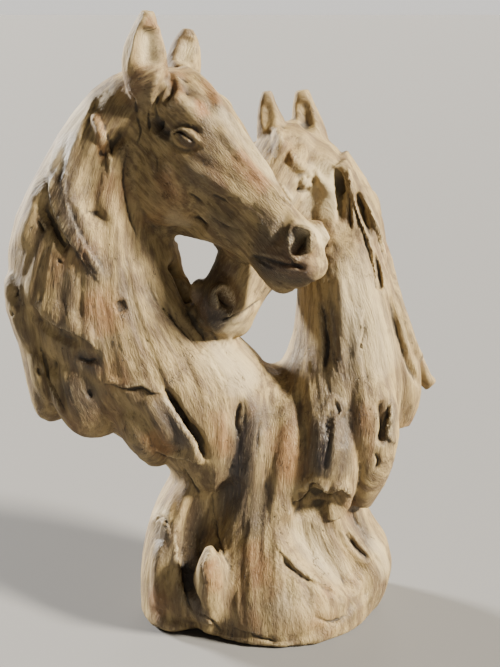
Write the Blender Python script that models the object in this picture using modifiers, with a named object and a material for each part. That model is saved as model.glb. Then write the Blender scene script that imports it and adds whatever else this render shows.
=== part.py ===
"""A statue of two nuzzling horses' heads that grow out of one driftwood trunk, cast in one piece.

Every place is in hundredths of the statue's height, as (x, y, z), with the front towards -Y and the
floor at zero. The forms are massed from lofts and balls, fused, softened and then carved with strokes.
"""

import math

import bmesh
import bpy
import numpy as np
from mathutils import Matrix, Vector
from mathutils.bvhtree import BVHTree

STATUE_HEIGHT = 0.400  # floor to the tip of the taller horse's near ear
UNIT = STATUE_HEIGHT / 100

MASS_GRAIN = 0.75  # voxel of the first, coarse fusing, in hundredths of the height
FORM_GRAIN = 0.50  # voxel of the second fusing
MOST_TRIANGLES = 9600
HEAD_CARE = 0.012  # how much the thinning spares the heads

SKIN_DROP = 5.0  # a mark stops where the skin drops away by this much between two of its places
LOCK_DEPTH = 0.9
LOCK_HALF_WIDTH = 1.3
LOCKS_BETWEEN_LINES = 2
SEED = 7

# The photograph was taken from this far in front and this high, with the lens tipped down.
EYE = (0.0, -162.5, 100.0)
EYE_TIP = math.radians(17.4)
FOCAL_PIXELS = 1026
PHOTO_CENTRE = (250, 333.5)

DRIFTWOOD_TAN = (0.42, 0.33, 0.22)

# The taller horse looks right, and the shorter one looks left behind its muzzle. A head's brow line
# runs from its poll to the front of its nose.
TALL_HEAD = {"poll": (-12.8, 0.0, 91.0), "nose": (11.6, -14.2, 67.4), "bulk": 1.0, "eye": (0.302, -0.060)}
SHORT_HEAD = {"poll": (6.6, 7.0, 82.2), "nose": (-8.2, -9.2, 56.8), "bulk": 1.1, "eye": (0.255, -0.075)}

# Stations along a head, as shares of its length: distance from the poll, top, underside,
# half width, how much wider the top is than the underside, and how square the section is.
HEAD_SECTIONS = [
    (-0.05, 0.000, -0.240, 0.090, 0.00, 2.0),
    (0.03, 0.060, -0.330, 0.125, 0.00, 2.2),
    (0.12, 0.090, -0.430, 0.150, 0.00, 2.3),
    (0.22, 0.095, -0.490, 0.165, 0.10, 2.4),
    (0.33, 0.085, -0.520, 0.160, 0.12, 2.6),
    (0.43, 0.060, -0.510, 0.138, 0.12, 2.9),
    (0.54, 0.035, -0.440, 0.112, 0.10, 3.0),
    (0.66, 0.015, -0.365, 0.095, 0.05, 2.8),
    (0.78, 0.000, -0.335, 0.090, 0.00, 2.3),
    (0.90, 0.000, -0.330, 0.098, 0.00, 2.2),
    (0.98, -0.020, -0.290, 0.090, 0.00, 2.1),
    (1.05, -0.090, -0.220, 0.055, 0.00, 2.0),
]

# Rounded forms that stand out of a head on both sides, in the same shares: place, then radii.
HEAD_BALLS = {
    "cheek": ((0.310, 0.082, -0.300), (0.200, 0.106, 0.215)),
    "nostril": ((0.920, 0.056, -0.052), (0.066, 0.042, 0.072)),
    "upper lip": ((0.990, 0.020, -0.130), (0.078, 0.064, 0.070)),
    "lower lip": ((0.930, 0.014, -0.272), (0.085, 0.060, 0.050)),
}
# The same for the forms about an eye, from the middle of the eye.
EYE_BALLS = {
    "brow": ((-0.077, 0.116, 0.068), (0.090, 0.045, 0.045)),
    "eyeball": ((0.000, 0.130, 0.000), (0.044, 0.042, 0.038)),
}

# Marks cut (below nought) or raised on both sides of a face: height, half width, then the path
# as (along, up from the brow line).
FACE_MARKS = {
    "temple": (-0.036, 0.060, [(0.110, -0.120), (0.185, -0.100)]),
    "jaw line": (-0.052, 0.050, [(0.080, -0.200), (0.085, -0.330), (0.150, -0.480), (0.300, -0.560)]),
    "front of the cheek": (-0.022, 0.050, [(0.440, -0.480), (0.535, -0.390), (0.545, -0.290)]),
    "face crest": (0.014, 0.055, [(0.340, -0.160), (0.500, -0.120), (0.680, -0.095)]),
    "nose ridge": (0.018, 0.034, [(0.360, 0.050), (0.550, 0.020), (0.830, -0.010)]),
    "mouth": (-0.036, 0.024, [(0.785, -0.268), (0.860, -0.210), (0.930, -0.165), (1.015, -0.100)]),
    "nostril": (-0.075, 0.040, [(0.885, 0.008), (0.920, -0.025), (0.965, -0.068)]),
    "chin": (-0.026, 0.040, [(0.790, -0.325), (0.870, -0.325)]),
}
# The same for the marks about an eye, from the middle of the eye.
EYE_MARKS = {
    "under the eye": (-0.018, 0.024, [(-0.064, -0.030), (-0.027, -0.058), (0.033, -0.035), (0.070, 0.035)]),
    "over the eye": (-0.018, 0.018, [(-0.066, -0.020), (-0.054, 0.028), (-0.007, 0.056), (0.043, 0.058)]),
    "brow ridge": (0.026, 0.038, [(-0.152, 0.010), (-0.112, 0.075), (-0.052, 0.105), (0.038, 0.095)]),
}

# Limbs: x, y, z, half width in the plane of the picture, half depth.
TALL_NECK = [
    (-13.0, 2.0, 89.0, 4.5, 4.5),
    (-18.7, 1.8, 84.0, 7.6, 6.2),
    (-23.4, 1.2, 74.4, 10.0, 7.4),
    (-25.4, 0.5, 63.5, 13.8, 8.6),
    (-23.4, 0.0, 53.4, 14.2, 9.8),
    (-16.6, -0.5, 44.2, 13.6, 10.6),
    (-7.6, -1.0, 37.2, 12.4, 11.0),
    (-1.5, -0.5, 28.5, 11.4, 11.0),
]
SHORT_NECK = [
    (8.0, 9.0, 79.0, 3.8, 4.6),
    (11.6, 7.4, 74.5, 5.0, 6.0),
    (14.8, 6.0, 66.5, 6.2, 6.8),
    (15.6, 2.8, 57.0, 7.8, 8.8),
    (16.3, 2.0, 48.0, 9.4, 9.6),
    (15.4, 1.5, 39.0, 11.4, 10.6),
    (12.0, 0.5, 30.0, 11.8, 11.2),
    (8.0, 0.0, 23.0, 11.2, 11.0),
]
TRUNK = [
    (3.2, 0.0, 43.0, 3.0, 3.0),
    (3.2, 0.0, 39.0, 10.0, 8.0),
    (3.4, 0.0, 32.0, 14.0, 11.0),
    (3.6, 0.0, 24.0, 13.6, 11.5),
    (3.8, -1.0, 16.0, 14.0, 12.5),
    (4.4, -2.5, 9.0, 15.4, 13.6),
    (4.8, -3.0, 4.0, 16.8, 14.4),
    (4.8, -3.0, -1.5, 17.0, 14.4),
]
ROOTS = {
    "left": [
        (-8.0, -2.0, 26.0, 4.0, 6.5),
        (-12.4, -3.5, 17.0, 4.6, 7.0),
        (-12.8, -4.0, 8.0, 6.2, 8.6),
        (-12.6, -4.5, -1.5, 6.4, 8.8),
    ],
    "right": [
        (14.0, 0.0, 26.0, 5.0, 7.0),
        (16.6, 0.0, 15.0, 4.6, 8.0),
        (19.8, -0.5, 7.5, 5.4, 8.4),
        (16.6, -1.5, -1.5, 5.0, 8.0),
    ],
    "stub": [
        (-6.5, -10.0, 3.0, 3.6, 5.0),
        (-6.6, -12.8, 9.0, 3.2, 3.8),
        (-6.5, -14.0, 14.0, 2.2, 2.4),
        (-6.4, -14.4, 17.8, 0.9, 0.9),
    ],
}
# The manes' lower ends hang clear of the trunk as broken flaps. The back has its own, a little shorter.
TALL_FLAPS = [
    [
        (-30.0, 1.5, 65.0, 5.0, 6.0),
        (-35.4, 0.5, 57.0, 4.8, 6.4),
        (-34.6, 0.0, 48.0, 3.6, 6.0),
        (-33.4, -0.5, 41.0, 3.8, 5.4),
        (-33.0, -1.0, 36.5, 3.2, 3.8),
        (-32.6, -1.0, 34.6, 1.6, 1.8),
    ],
    [
        (-26.6, 0.0, 57.0, 4.4, 3.6),
        (-26.5, -4.5, 43.0, 6.5, 4.8),
        (-25.4, -5.0, 36.0, 5.0, 3.4),
        (-25.0, -4.6, 33.4, 3.0, 1.8),
    ],
    [
        (-19.4, -2.4, 49.0, 4.0, 3.6),
        (-17.5, -7.0, 37.5, 4.6, 4.0),
        (-15.6, -7.0, 31.5, 3.2, 2.8),
        (-15.0, -6.6, 28.8, 1.8, 1.4),
    ],
    [
        (-26.6, 1.4, 59.0, 4.4, 3.4),
        (-27.0, 5.4, 45.0, 5.6, 4.4),
        (-26.0, 5.6, 38.0, 3.8, 2.8),
        (-25.6, 5.2, 36.0, 2.0, 1.4),
    ],
    [(-19.2, 3.0, 51.0, 4.0, 3.4), (-17.8, 7.4, 39.5, 4.4, 3.6), (-16.4, 7.2, 33.5, 2.6, 2.2)],
]
SHORT_FLAPS = [
    [
        (14.0, 7.5, 77.0, 2.4, 3.0),
        (18.6, 6.5, 70.0, 2.4, 3.2),
        (21.2, 5.0, 61.0, 2.4, 3.2),
        (23.9, 4.5, 52.0, 2.2, 2.6),
    ],
    [
        (23.0, 4.5, 54.0, 2.2, 2.8),
        (26.6, 4.2, 45.5, 1.8, 2.0),
        (29.0, 3.8, 41.0, 1.4, 1.4),
        (31.2, 3.6, 38.6, 1.3, 1.1),
    ],
    [
        (19.0, 2.5, 60.0, 3.6, 4.0),
        (23.0, 1.5, 47.0, 4.8, 5.4),
        (25.4, 0.5, 38.5, 3.6, 4.4),
        (25.2, 0.0, 33.0, 2.0, 2.6),
    ],
    [
        (16.8, -1.0, 52.0, 3.8, 3.8),
        (19.0, -5.5, 37.0, 5.4, 5.0),
        (19.6, -6.0, 28.0, 4.0, 4.0),
        (18.4, -6.0, 21.0, 2.0, 2.0),
    ],
    [
        (11.4, -2.6, 46.0, 3.4, 3.4),
        (13.0, -8.0, 32.0, 4.6, 4.4),
        (13.6, -8.8, 24.0, 3.6, 3.0),
        (13.6, -8.6, 20.6, 2.2, 1.6),
    ],
    [
        (16.4, 3.4, 61.0, 3.6, 3.4),
        (19.0, 7.6, 47.0, 5.2, 4.4),
        (19.6, 7.8, 37.0, 4.4, 3.6),
        (19.0, 7.0, 30.5, 2.4, 1.8),
    ],
    [
        (11.8, 3.8, 49.0, 3.4, 3.2),
        (12.6, 8.6, 36.0, 4.4, 4.0),
        (12.4, 8.8, 27.0, 3.4, 3.0),
        (12.0, 8.4, 23.6, 1.8, 1.4),
    ],
]
EARS = [
    [
        (-14.6, -2.0, 85.0, 2.2, 2.0),
        (-15.6, -4.0, 90.5, 3.4, 2.5),
        (-15.6, -4.8, 95.0, 3.1, 1.9),
        (-14.9, -5.0, 100.3, 1.0, 0.9),
    ],
    [
        (-10.8, 3.0, 87.0, 2.8, 2.2),
        (-10.6, 3.8, 91.5, 2.9, 2.0),
        (-10.0, 4.4, 95.0, 2.3, 1.6),
        (-9.6, 4.6, 97.6, 0.9, 0.9),
    ],
    [
        (3.8, 5.0, 78.0, 2.6, 2.0),
        (3.5, 5.4, 82.0, 2.5, 1.7),
        (2.9, 5.6, 85.0, 1.7, 1.2),
        (2.7, 5.6, 88.0, 0.8, 0.7),
    ],
    [
        (10.2, 7.6, 77.5, 3.2, 2.2),
        (9.6, 7.8, 81.5, 2.8, 1.8),
        (8.8, 8.0, 85.0, 2.0, 1.3),
        (8.4, 8.0, 88.0, 1.1, 0.8),
    ],
]

# Lines that the grain and the locks follow from the poll down to the foot, in the photograph's pixels.
# The locks lie side by side between each line and the next.
TALL_CREST = [(122, 62), (85, 100), (62, 150), (42, 195), (22, 250), (14, 300), (28, 350), (33, 405)]
TALL_OUTER = [(130, 72), (95, 130), (78, 180), (62, 230), (52, 280), (48, 330), (52, 380), (62, 415)]
TALL_BAND = [(138, 85), (112, 150), (98, 210), (92, 260), (90, 310), (96, 360), (104, 400), (128, 430)]
TALL_JAW = [(140, 128), (122, 200), (120, 265), (128, 310), (142, 355), (162, 400), (184, 445)]
TALL_SIDE = [(150, 228), (152, 262), (162, 300), (180, 340), (200, 380), (212, 430), (214, 480)]
THROAT = [(175, 248), (190, 285), (210, 318), (236, 348), (256, 375), (258, 430), (246, 490)]
SHORT_THROAT = [(297, 300), (295, 330), (288, 360), (274, 388), (275, 430), (268, 490)]
SHORT_INNER = [(308, 285), (306, 340), (308, 385), (312, 430), (306, 480)]
SHORT_SIDE = [(326, 255), (330, 310), (338, 360), (346, 410), (348, 455), (342, 490)]
SHORT_BAND = [(338, 190), (345, 235), (355, 285), (366, 330), (374, 380), (378, 430), (370, 470)]
SHORT_OUTER = [(342, 158), (358, 200), (373, 250), (385, 300), (397, 350), (403, 395), (396, 435)]
SHORT_CREST = [(336, 140), (362, 172), (380, 210), (392, 265), (406, 325), (416, 370), (411, 420)]
FOOT_LINES = [
    [(178, 474), (156, 520), (148, 570), (146, 605), (152, 626)],
    [(190, 470), (180, 520), (168, 575), (168, 634)],
    [(208, 460), (204, 520), (192, 570), (190, 638)],
    [(228, 450), (226, 510), (216, 570), (215, 640)],
    [(250, 430), (248, 500), (238, 570), (240, 646)],
    [(270, 420), (268, 480), (264, 560), (268, 655)],
    [(286, 480), (288, 530), (300, 590), (304, 652)],
    [(304, 500), (316, 545), (340, 595), (334, 638)],
    [(328, 502), (344, 540), (368, 580), (362, 605)],
    [(356, 496), (368, 535), (388, 570), (388, 588)],
]
LOCK_GROUPS = [
    [TALL_CREST, TALL_OUTER, TALL_BAND, TALL_JAW, TALL_SIDE, THROAT],
    [SHORT_THROAT, SHORT_INNER, SHORT_SIDE, SHORT_BAND, SHORT_OUTER, SHORT_CREST],
    FOOT_LINES,
]
# Marks of the photographed side: height, half width, then the path in the photograph's pixels.
FRONT_MARKS = {
    "tall near ear": (-2.0, 2.1, [(149, 70), (149, 48), (151, 24)]),
    "tall far ear": (-1.0, 1.5, [(182, 66), (188, 50), (189, 34)]),
    "short left ear": (-1.0, 1.0, [(271, 130), (269, 114), (267, 100)]),
    "short right ear": (-1.5, 1.6, [(309, 134), (305, 114), (303, 98)]),
    "tall forelock": (0.9, 1.5, [(168, 62), (188, 74), (203, 88), (210, 104), (213, 122)]),
    "under the forelock": (-0.9, 0.8, [(174, 72), (189, 84), (201, 100)]),
    "tall side lock": (0.9, 1.0, [(160, 70), (153, 88), (150, 108), (151, 126)]),
    "tall brown lock": (0.9, 1.5, [(166, 78), (166, 96), (160, 116)]),
    "short forelock": (0.9, 1.2, [(282, 128), (288, 146), (298, 162)]),
    "short side lock": (0.9, 1.1, [(298, 130), (308, 148), (314, 164)]),
    "short hollow by the eye": (-1.0, 0.9, [(283, 146), (290, 160), (297, 170)]),
    "short hollow behind the eye": (-1.3, 0.9, [(313, 170), (315, 178), (317, 186)]),
    "valley left of the middle": (-1.6, 1.8, [(206, 380), (216, 410), (226, 450), (222, 500)]),
    "valley right of the middle": (-1.7, 1.8, [(270, 385), (277, 420), (274, 470), (262, 530)]),
    "behind the short horse's jaw": (-2.0, 1.5, [(334, 160), (341, 190), (343, 220), (338, 248)]),
    "upper hollow of the short mane": (-1.8, 1.4, [(352, 178), (362, 200), (369, 232)]),
    "lower hollow of the short mane": (-1.7, 1.3, [(371, 248), (378, 270), (384, 296)]),
    "notch under the short mane": (-2.4, 1.5, [(378, 400), (384, 425), (380, 446)]),
    "cavity over the right root": (-3.0, 2.2, [(302, 494), (314, 482), (325, 494)]),
    "sweep of the right root": (-2.0, 3.4, [(322, 505), (340, 535), (362, 562)]),
    "under the sweep": (-1.3, 1.3, [(275, 558), (295, 578), (318, 590)]),
    "slit in the right root": (-1.2, 0.9, [(350, 540), (360, 547), (370, 556)]),
    "beside the stub": (-1.3, 1.6, [(190, 545), (188, 575), (196, 605)]),
    "over the rim": (-1.0, 1.3, [(150, 606), (185, 622), (230, 632), (270, 641), (320, 630), (386, 574)]),
}


def between(stations, steps):
    """The stations with steps more rows between each two, on a smooth curve through all of them."""
    points = np.array(stations, float)
    ends = np.vstack([2 * points[0] - points[1], points, 2 * points[-1] - points[-2]])
    rows = []
    for i in range(1, len(ends) - 2):
        before, here, there, after = ends[i - 1 : i + 3]
        for step in range(steps):
            t = step / steps
            rows.append(
                0.5
                * (
                    2 * here
                    + (there - before) * t
                    + (2 * before - 5 * here + 4 * there - after) * t * t
                    + (3 * here - before - 3 * there + after) * t**3
                )
            )
    rows.append(points[-1])
    return np.array(rows)


def loft(clay, rings):
    """Bridges the rings, each a list of bmesh vertices, and closes both ends."""
    for ring, following in zip(rings, rings[1:]):
        edges = {edge for vert in ring + following for edge in vert.link_edges}
        loops = [e for e in edges if (set(e.verts) <= set(ring)) or (set(e.verts) <= set(following))]
        bmesh.ops.bridge_loops(clay, edges=loops)
    for ring in (rings[0], rings[-1]):
        bmesh.ops.contextual_create(clay, geom=ring)


def limb(clay, stations, steps=3, sides=24):
    """A tapering limb of oval section. Its depth lies along Y as nearly as its direction lets it."""
    rows = between(stations, steps)
    directions = np.gradient(rows[:, :3], axis=0)
    rings = []
    for row, direction in zip(rows, directions):
        along = Vector(direction).normalized()
        through = (Vector((0, 1, 0)) - along * along.y).normalized()
        across = through.cross(along)
        turn = Matrix((across * row[3], through * row[4], along)).transposed()
        place = Matrix.Translation(row[:3]) @ turn.to_4x4()
        rings.append(bmesh.ops.create_circle(clay, segments=sides, radius=1, matrix=place)["verts"])
    loft(clay, rings)


def head_frame(head):
    """Turns shares of a head's length, as (along, aside, up from the brow line), into places."""
    poll, nose = Vector(head["poll"]), Vector(head["nose"])
    along = (nose - poll).normalized()
    aside = Vector((0, 0, 1)).cross(along).normalized()
    above = along.cross(aside)
    turn = Matrix((along, aside, above)).transposed()
    length = (nose - poll).length
    depth = length * head["bulk"]
    return Matrix.Translation(poll) @ turn.to_4x4() @ Matrix.Diagonal((length, depth, depth, 1))


def skull(clay, head):
    frame = head_frame(head)
    rings = []
    for along, top, bottom, half_width, flare, square in between(HEAD_SECTIONS, 3):
        made = bmesh.ops.create_circle(clay, segments=28, radius=1)["verts"]
        for vert in made:
            side = math.copysign(abs(vert.co.x) ** (2 / square), vert.co.x)
            rise = math.copysign(abs(vert.co.y) ** (2 / square), vert.co.y)
            width = half_width * (1 + flare * rise)
            vert.co = frame @ Vector((along, side * width, (top + bottom) / 2 + rise * (top - bottom) / 2))
        rings.append(made)
    loft(clay, rings)


def features(clay, head):
    frame = head_frame(head)
    eye = Vector((head["eye"][0], 0, head["eye"][1]))
    balls = [(Vector(place), radii) for place, radii in HEAD_BALLS.values()]
    balls += [(Vector(place) + eye, radii) for place, radii in EYE_BALLS.values()]
    for (along, aside, above), radii in balls:
        for side in (1, -1):
            place = frame @ Matrix.Translation((along, aside * side, above)) @ Matrix.Diagonal((*radii, 1))
            bmesh.ops.create_icosphere(clay, subdivisions=3, radius=1, matrix=place)


def fused(clay, name, grain, smoothing):
    """One skin around all that is in the clay, with its joins smoothed."""
    bmesh.ops.recalc_face_normals(clay, faces=clay.faces)
    mesh = bpy.data.meshes.new(name)
    clay.to_mesh(mesh)
    clay.free()
    form = bpy.data.objects.new(name, mesh)
    bpy.context.scene.collection.objects.link(form)
    remesh = form.modifiers.new("Fuse", "REMESH")
    remesh.mode = "VOXEL"
    remesh.voxel_size = grain
    smooth = form.modifiers.new("Soften", "SMOOTH")
    smooth.factor = 0.5
    smooth.iterations = smoothing
    baked = bpy.data.meshes.new_from_object(form.evaluated_get(bpy.context.evaluated_depsgraph_get()))
    bpy.data.objects.remove(form)
    return baked


def masses():
    clay = bmesh.new()
    limb(clay, TALL_NECK)
    limb(clay, SHORT_NECK)
    limb(clay, TRUNK)
    for head in (TALL_HEAD, SHORT_HEAD):
        skull(clay, head)
    for root in ROOTS.values():
        limb(clay, root)
    return fused(clay, "masses", MASS_GRAIN, 8)


def forms(rough):
    clay = bmesh.new()
    clay.from_mesh(rough)
    for head in (TALL_HEAD, SHORT_HEAD):
        features(clay, head)
    for stations in TALL_FLAPS + SHORT_FLAPS + EARS:
        limb(clay, stations)
    return fused(clay, "forms", FORM_GRAIN, 4)


class Carver:
    """Gathers strokes on a mesh and then moves its vertices along their normals, all at once."""

    def __init__(self, mesh):
        self.mesh = mesh
        self.points = np.empty(len(mesh.vertices) * 3)
        self.normals = np.empty(len(mesh.vertices) * 3)
        mesh.vertices.foreach_get("co", self.points)
        mesh.vertices.foreach_get("normal", self.normals)
        self.points = self.points.reshape(-1, 3)
        self.normals = self.normals.reshape(-1, 3)
        self.rise = np.zeros(len(mesh.vertices))
        clay = bmesh.new()
        clay.from_mesh(mesh)
        self.skin = BVHTree.FromBMesh(clay)
        clay.free()

    def cast(self, starts, looks):
        """The runs of places where lines of sight meet the skin, split where the skin drops away."""
        runs = [[]]
        for start, look in zip(starts, looks):
            place = self.skin.ray_cast(start, look)[0]
            if not place or (runs[-1] and (place - runs[-1][-1]).length > SKIN_DROP):
                runs.append([])
            if place:
                runs[-1].append(place)
        return [run for run in runs if len(run) > 2]

    def seen(self, pixels, behind=False):
        """The places on the skin that the photograph's pixels show, or those straight behind them."""
        ahead = Vector((0, math.cos(EYE_TIP), -math.sin(EYE_TIP))) * FOCAL_PIXELS
        raised = Vector((0, math.sin(EYE_TIP), math.cos(EYE_TIP)))
        mirror = Vector((1, -1 if behind else 1, 1))
        looks = [
            (ahead + raised * (PHOTO_CENTRE[1] - down) + Vector((right - PHOTO_CENTRE[0], 0, 0))) * mirror
            for right, down in pixels
        ]
        return self.cast([Vector(EYE) * mirror] * len(looks), looks)

    def stroke(self, places, height, half_width, blunt=0.25):
        """Raises or cuts the skin along a path, fading to its sides and towards its ends."""
        path = np.array(places)
        above = self.points > path.min(0) - half_width
        below = self.points < path.max(0) + half_width
        chosen = np.flatnonzero(np.all(above & below, axis=1))
        if not len(chosen):
            return
        start, span = path[:-1], np.diff(path, axis=0)
        lengths = np.maximum(np.einsum("ij,ij->i", span, span), 1e-9)
        away = self.points[chosen, None] - start
        share = np.clip(np.einsum("kij,ij->ki", away, span) / lengths, 0, 1)
        gaps = np.linalg.norm(away - share[..., None] * span, axis=2)
        closest = gaps.argmin(1)
        row = np.arange(len(chosen))
        gap = gaps[row, closest] / half_width
        along = (closest + share[row, closest]) / len(span)
        fade = np.clip(np.minimum(along, 1 - along) / blunt, 0, 1)
        self.rise[chosen] += height * np.clip(1 - gap**2, 0, 1) ** 2 * fade * (2 - fade)

    def finish(self):
        moved = self.points + self.normals * self.rise[:, None]
        self.mesh.vertices.foreach_set("co", moved.ravel())
        self.mesh.update()


def carve_face(carver, head):
    frame = head_frame(head)
    scale = frame.to_scale().x
    aside = frame.to_3x3() @ Vector((0, 1, 0))
    marks = list(FACE_MARKS.values())
    marks += [(rise, width, np.add(path, head["eye"])) for rise, width, path in EYE_MARKS.values()]
    for height, half_width, path in marks:
        for side in (1, -1):
            starts = [frame @ Vector((along, side * 0.4, above)) for along, above in between(path, 5)]
            for run in carver.cast(starts, [-side * aside] * len(starts)):
                carver.stroke(run, height * scale, half_width * scale)


def resampled(path, count):
    steps = np.linspace(0, len(path) - 1, count)
    return np.array([np.interp(steps, np.arange(len(path)), column) for column in path.T]).T


def carve_locks(carver, lines, chance, count, height, half_width, behind=False):
    """Wavering locks, each a ridge with a cut beside it, that run down between each line and the next."""
    runs = [resampled(between(line, 5), 40) for line in lines]
    for left, right in zip(runs, runs[1:]):
        for i in range(count):
            share = (i + 0.5 + chance.uniform(-0.25, 0.25)) / count
            wave = 0.12 * np.sin(np.linspace(0, chance.uniform(4, 9), 40) + chance.uniform(0, 6.3)) / count
            first, last = chance.integers(0, 12), chance.integers(28, 41)
            cut = (0, -height, half_width)
            ridge = (0.45 / count, height * 0.7, half_width * 1.2)
            for offset, rise, width in (cut, ridge):
                shares = (share + wave + offset)[first:last, None]
                path = left[first:last] * (1 - shares) + right[first:last] * shares
                for run in carver.seen(path, behind):
                    carver.stroke(run, rise, width, 0.35)


def carve(mesh):
    carver = Carver(mesh)
    chance = np.random.default_rng(SEED)
    for head in (TALL_HEAD, SHORT_HEAD):
        carve_face(carver, head)
    for behind in (False, True):
        for lines in LOCK_GROUPS:
            carve_locks(carver, lines, chance, LOCKS_BETWEEN_LINES, LOCK_DEPTH, LOCK_HALF_WIDTH, behind)
    for height, half_width, path in FRONT_MARKS.values():
        for run in carver.seen(between(path, 6)):
            carver.stroke(run, height, half_width)
    carver.finish()


def thinned(mesh):
    """The carved skin with no more triangles than the CAD wants, and the closest of them on the heads."""
    form = bpy.data.objects.new("thinned", mesh)
    bpy.context.scene.collection.objects.link(form)
    frames = [head_frame(head).inverted() for head in (TALL_HEAD, SHORT_HEAD)]
    spare = form.vertex_groups.new(name="spare")
    for vert in mesh.vertices:
        on_head = False
        for frame in frames:
            along, aside, above = frame @ vert.co
            on_head |= -0.05 < along < 1.1 and abs(aside) < 0.22 and -0.45 < above < 0.3
        spare.add([vert.index], 0.5 if on_head else 1.0, "REPLACE")
    thin = form.modifiers.new("Thin", "DECIMATE")
    thin.ratio = MOST_TRIANGLES / sum(len(face.vertices) - 2 for face in mesh.polygons)
    thin.vertex_group = spare.name
    thin.vertex_group_factor = HEAD_CARE
    baked = bpy.data.meshes.new_from_object(form.evaluated_get(bpy.context.evaluated_depsgraph_get()))
    bpy.data.objects.remove(form)
    return baked


def stand_flat(mesh):
    """Cuts the foot level, closes it with one flat face and puts the middle of the box over the origin."""
    clay = bmesh.new()
    clay.from_mesh(mesh)
    everything = clay.verts[:] + clay.edges[:] + clay.faces[:]
    cut = bmesh.ops.bisect_plane(
        clay, geom=everything, plane_co=(0, 0, 0), plane_no=(0, 0, 1), clear_inner=True
    )
    rim = [part for part in cut["geom_cut"] if isinstance(part, bmesh.types.BMEdge)]
    bmesh.ops.contextual_create(clay, geom=rim)
    bmesh.ops.triangulate(clay, faces=clay.faces)
    places = np.array([vert.co for vert in clay.verts])
    middle = (places.min(0) + places.max(0)) / 2
    bmesh.ops.translate(clay, verts=clay.verts, vec=(-middle[0], -middle[1], 0))
    bmesh.ops.recalc_face_normals(clay, faces=clay.faces)
    clay.to_mesh(mesh)
    clay.free()
    return -middle


def driftwood():
    material = bpy.data.materials.new("driftwood_cast_stone")
    material.use_nodes = True
    shader = material.node_tree.nodes["Principled BSDF"]
    shader.inputs["Base Color"].default_value = (*DRIFTWOOD_TAN, 1)
    shader.inputs["Roughness"].default_value = 0.78
    shader.inputs["Metallic"].default_value = 0.0
    return material


def clear_scene():
    for old in list(bpy.data.objects):
        bpy.data.objects.remove(old)


def main():
    clear_scene()
    mesh = forms(masses())
    carve(mesh)
    mesh = thinned(mesh)
    shift = stand_flat(mesh)
    mesh.transform(Matrix.Scale(UNIT, 4))
    mesh.materials.clear()
    mesh.materials.append(driftwood())
    statue = bpy.data.objects.new("double_horse_head_statue", mesh)
    statue["photo_shift"] = (shift[0] * UNIT, shift[1] * UNIT, 0.0)
    mesh.shade_smooth()
    mesh.set_sharp_from_angle(angle=math.radians(50))
    parts = bpy.data.collections.new("double horse head statue")
    bpy.context.scene.collection.children.link(parts)
    parts.objects.link(statue)
    return statue


if __name__ == "__main__":
    main()
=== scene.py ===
import math
import time

import bmesh
import bpy
import numpy as np
from mathutils import Matrix, Vector, noise
from mathutils.bvhtree import BVHTree
from mathutils.kdtree import KDTree


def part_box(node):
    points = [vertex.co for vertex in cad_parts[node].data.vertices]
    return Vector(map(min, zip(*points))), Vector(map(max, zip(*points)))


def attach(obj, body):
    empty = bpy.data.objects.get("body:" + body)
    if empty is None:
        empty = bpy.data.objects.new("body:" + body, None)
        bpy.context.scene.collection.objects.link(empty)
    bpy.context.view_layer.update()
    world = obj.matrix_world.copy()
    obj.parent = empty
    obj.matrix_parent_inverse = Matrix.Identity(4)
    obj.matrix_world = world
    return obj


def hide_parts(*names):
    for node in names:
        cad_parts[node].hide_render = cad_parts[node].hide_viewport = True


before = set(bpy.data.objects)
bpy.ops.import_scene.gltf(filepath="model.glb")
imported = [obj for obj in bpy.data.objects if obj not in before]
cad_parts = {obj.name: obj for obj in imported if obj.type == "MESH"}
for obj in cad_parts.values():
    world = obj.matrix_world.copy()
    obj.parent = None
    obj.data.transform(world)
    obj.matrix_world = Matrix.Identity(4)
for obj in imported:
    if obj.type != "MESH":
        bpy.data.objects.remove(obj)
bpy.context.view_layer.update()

# The statue of two nuzzling horses' heads on one driftwood trunk, cast in one piece and painted by hand.
# Places are in hundredths of its height, front towards -Y, until the finished skin is put in its place.

started = time.perf_counter()
print("scene started: two horses' heads on a driftwood trunk")

statue = {
    "node": "double_horse_head_statue",
    "slot": "driftwood_cast",
    "height": 0.400,
    "massGrain": 0.75,     # voxel of the first fusing
    "massSoftening": 8,
    "formGrain": 0.27,     # voxel of the second, which sets how fine the carving can be
    "formSoftening": 9,
    "footRound": 1.5,      # height and depth of the rounded edge that it stands on
    "worn": [              # places worn smooth: middle, reach, rounds
        ((15.8, 0.8, 68.2), 4.7, 170),
        ((12.6, -11.0, 69.5), 1.8, 60),
        ((13.8, -2.2, 64.4), 1.8, 40),
        ((-24.0, -5.0, 75.0), 4.4, 90),
        ((-11.6, -1.0, 62.5), 3.8, 70),
        ((-32.0, -8.0, 57.5), 4.5, 25),
    ],
    "skinDrop": 5.0,       # a mark stops where the skin drops away by this much
    "mostTriangles": 192000,
    "sharpAngle": 75,
    "seed": 7,
}

photo = {
    "eye": (0.0, -162.5, 100.0),
    "tip": math.radians(17.4),
    "focal": 1026,         # in pixels of the 500 x 667 photograph
    "centre": (250, 333.5),
    "sensor": 36,          # millimetres along the photograph's longer side
}

heads = {
    "tall": {"poll": (-12.8, 0.0, 91.0), "nose": (11.6, -14.2, 67.4), "bulk": 1.0, "eye": (0.302, -0.060),
             "cheekMarks": 1.0, "eyeMarks": 1.0, "eyePaintAndShade": 1.0},
    "short": {"poll": (6.6, 7.0, 82.2), "nose": (-8.2, -9.2, 56.8), "bulk": 1.1, "eye": (0.255, -0.075),
              "cheekMarks": 0.35, "eyeMarks": 0.30, "eyePaintAndShade": 0.2},
}

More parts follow.
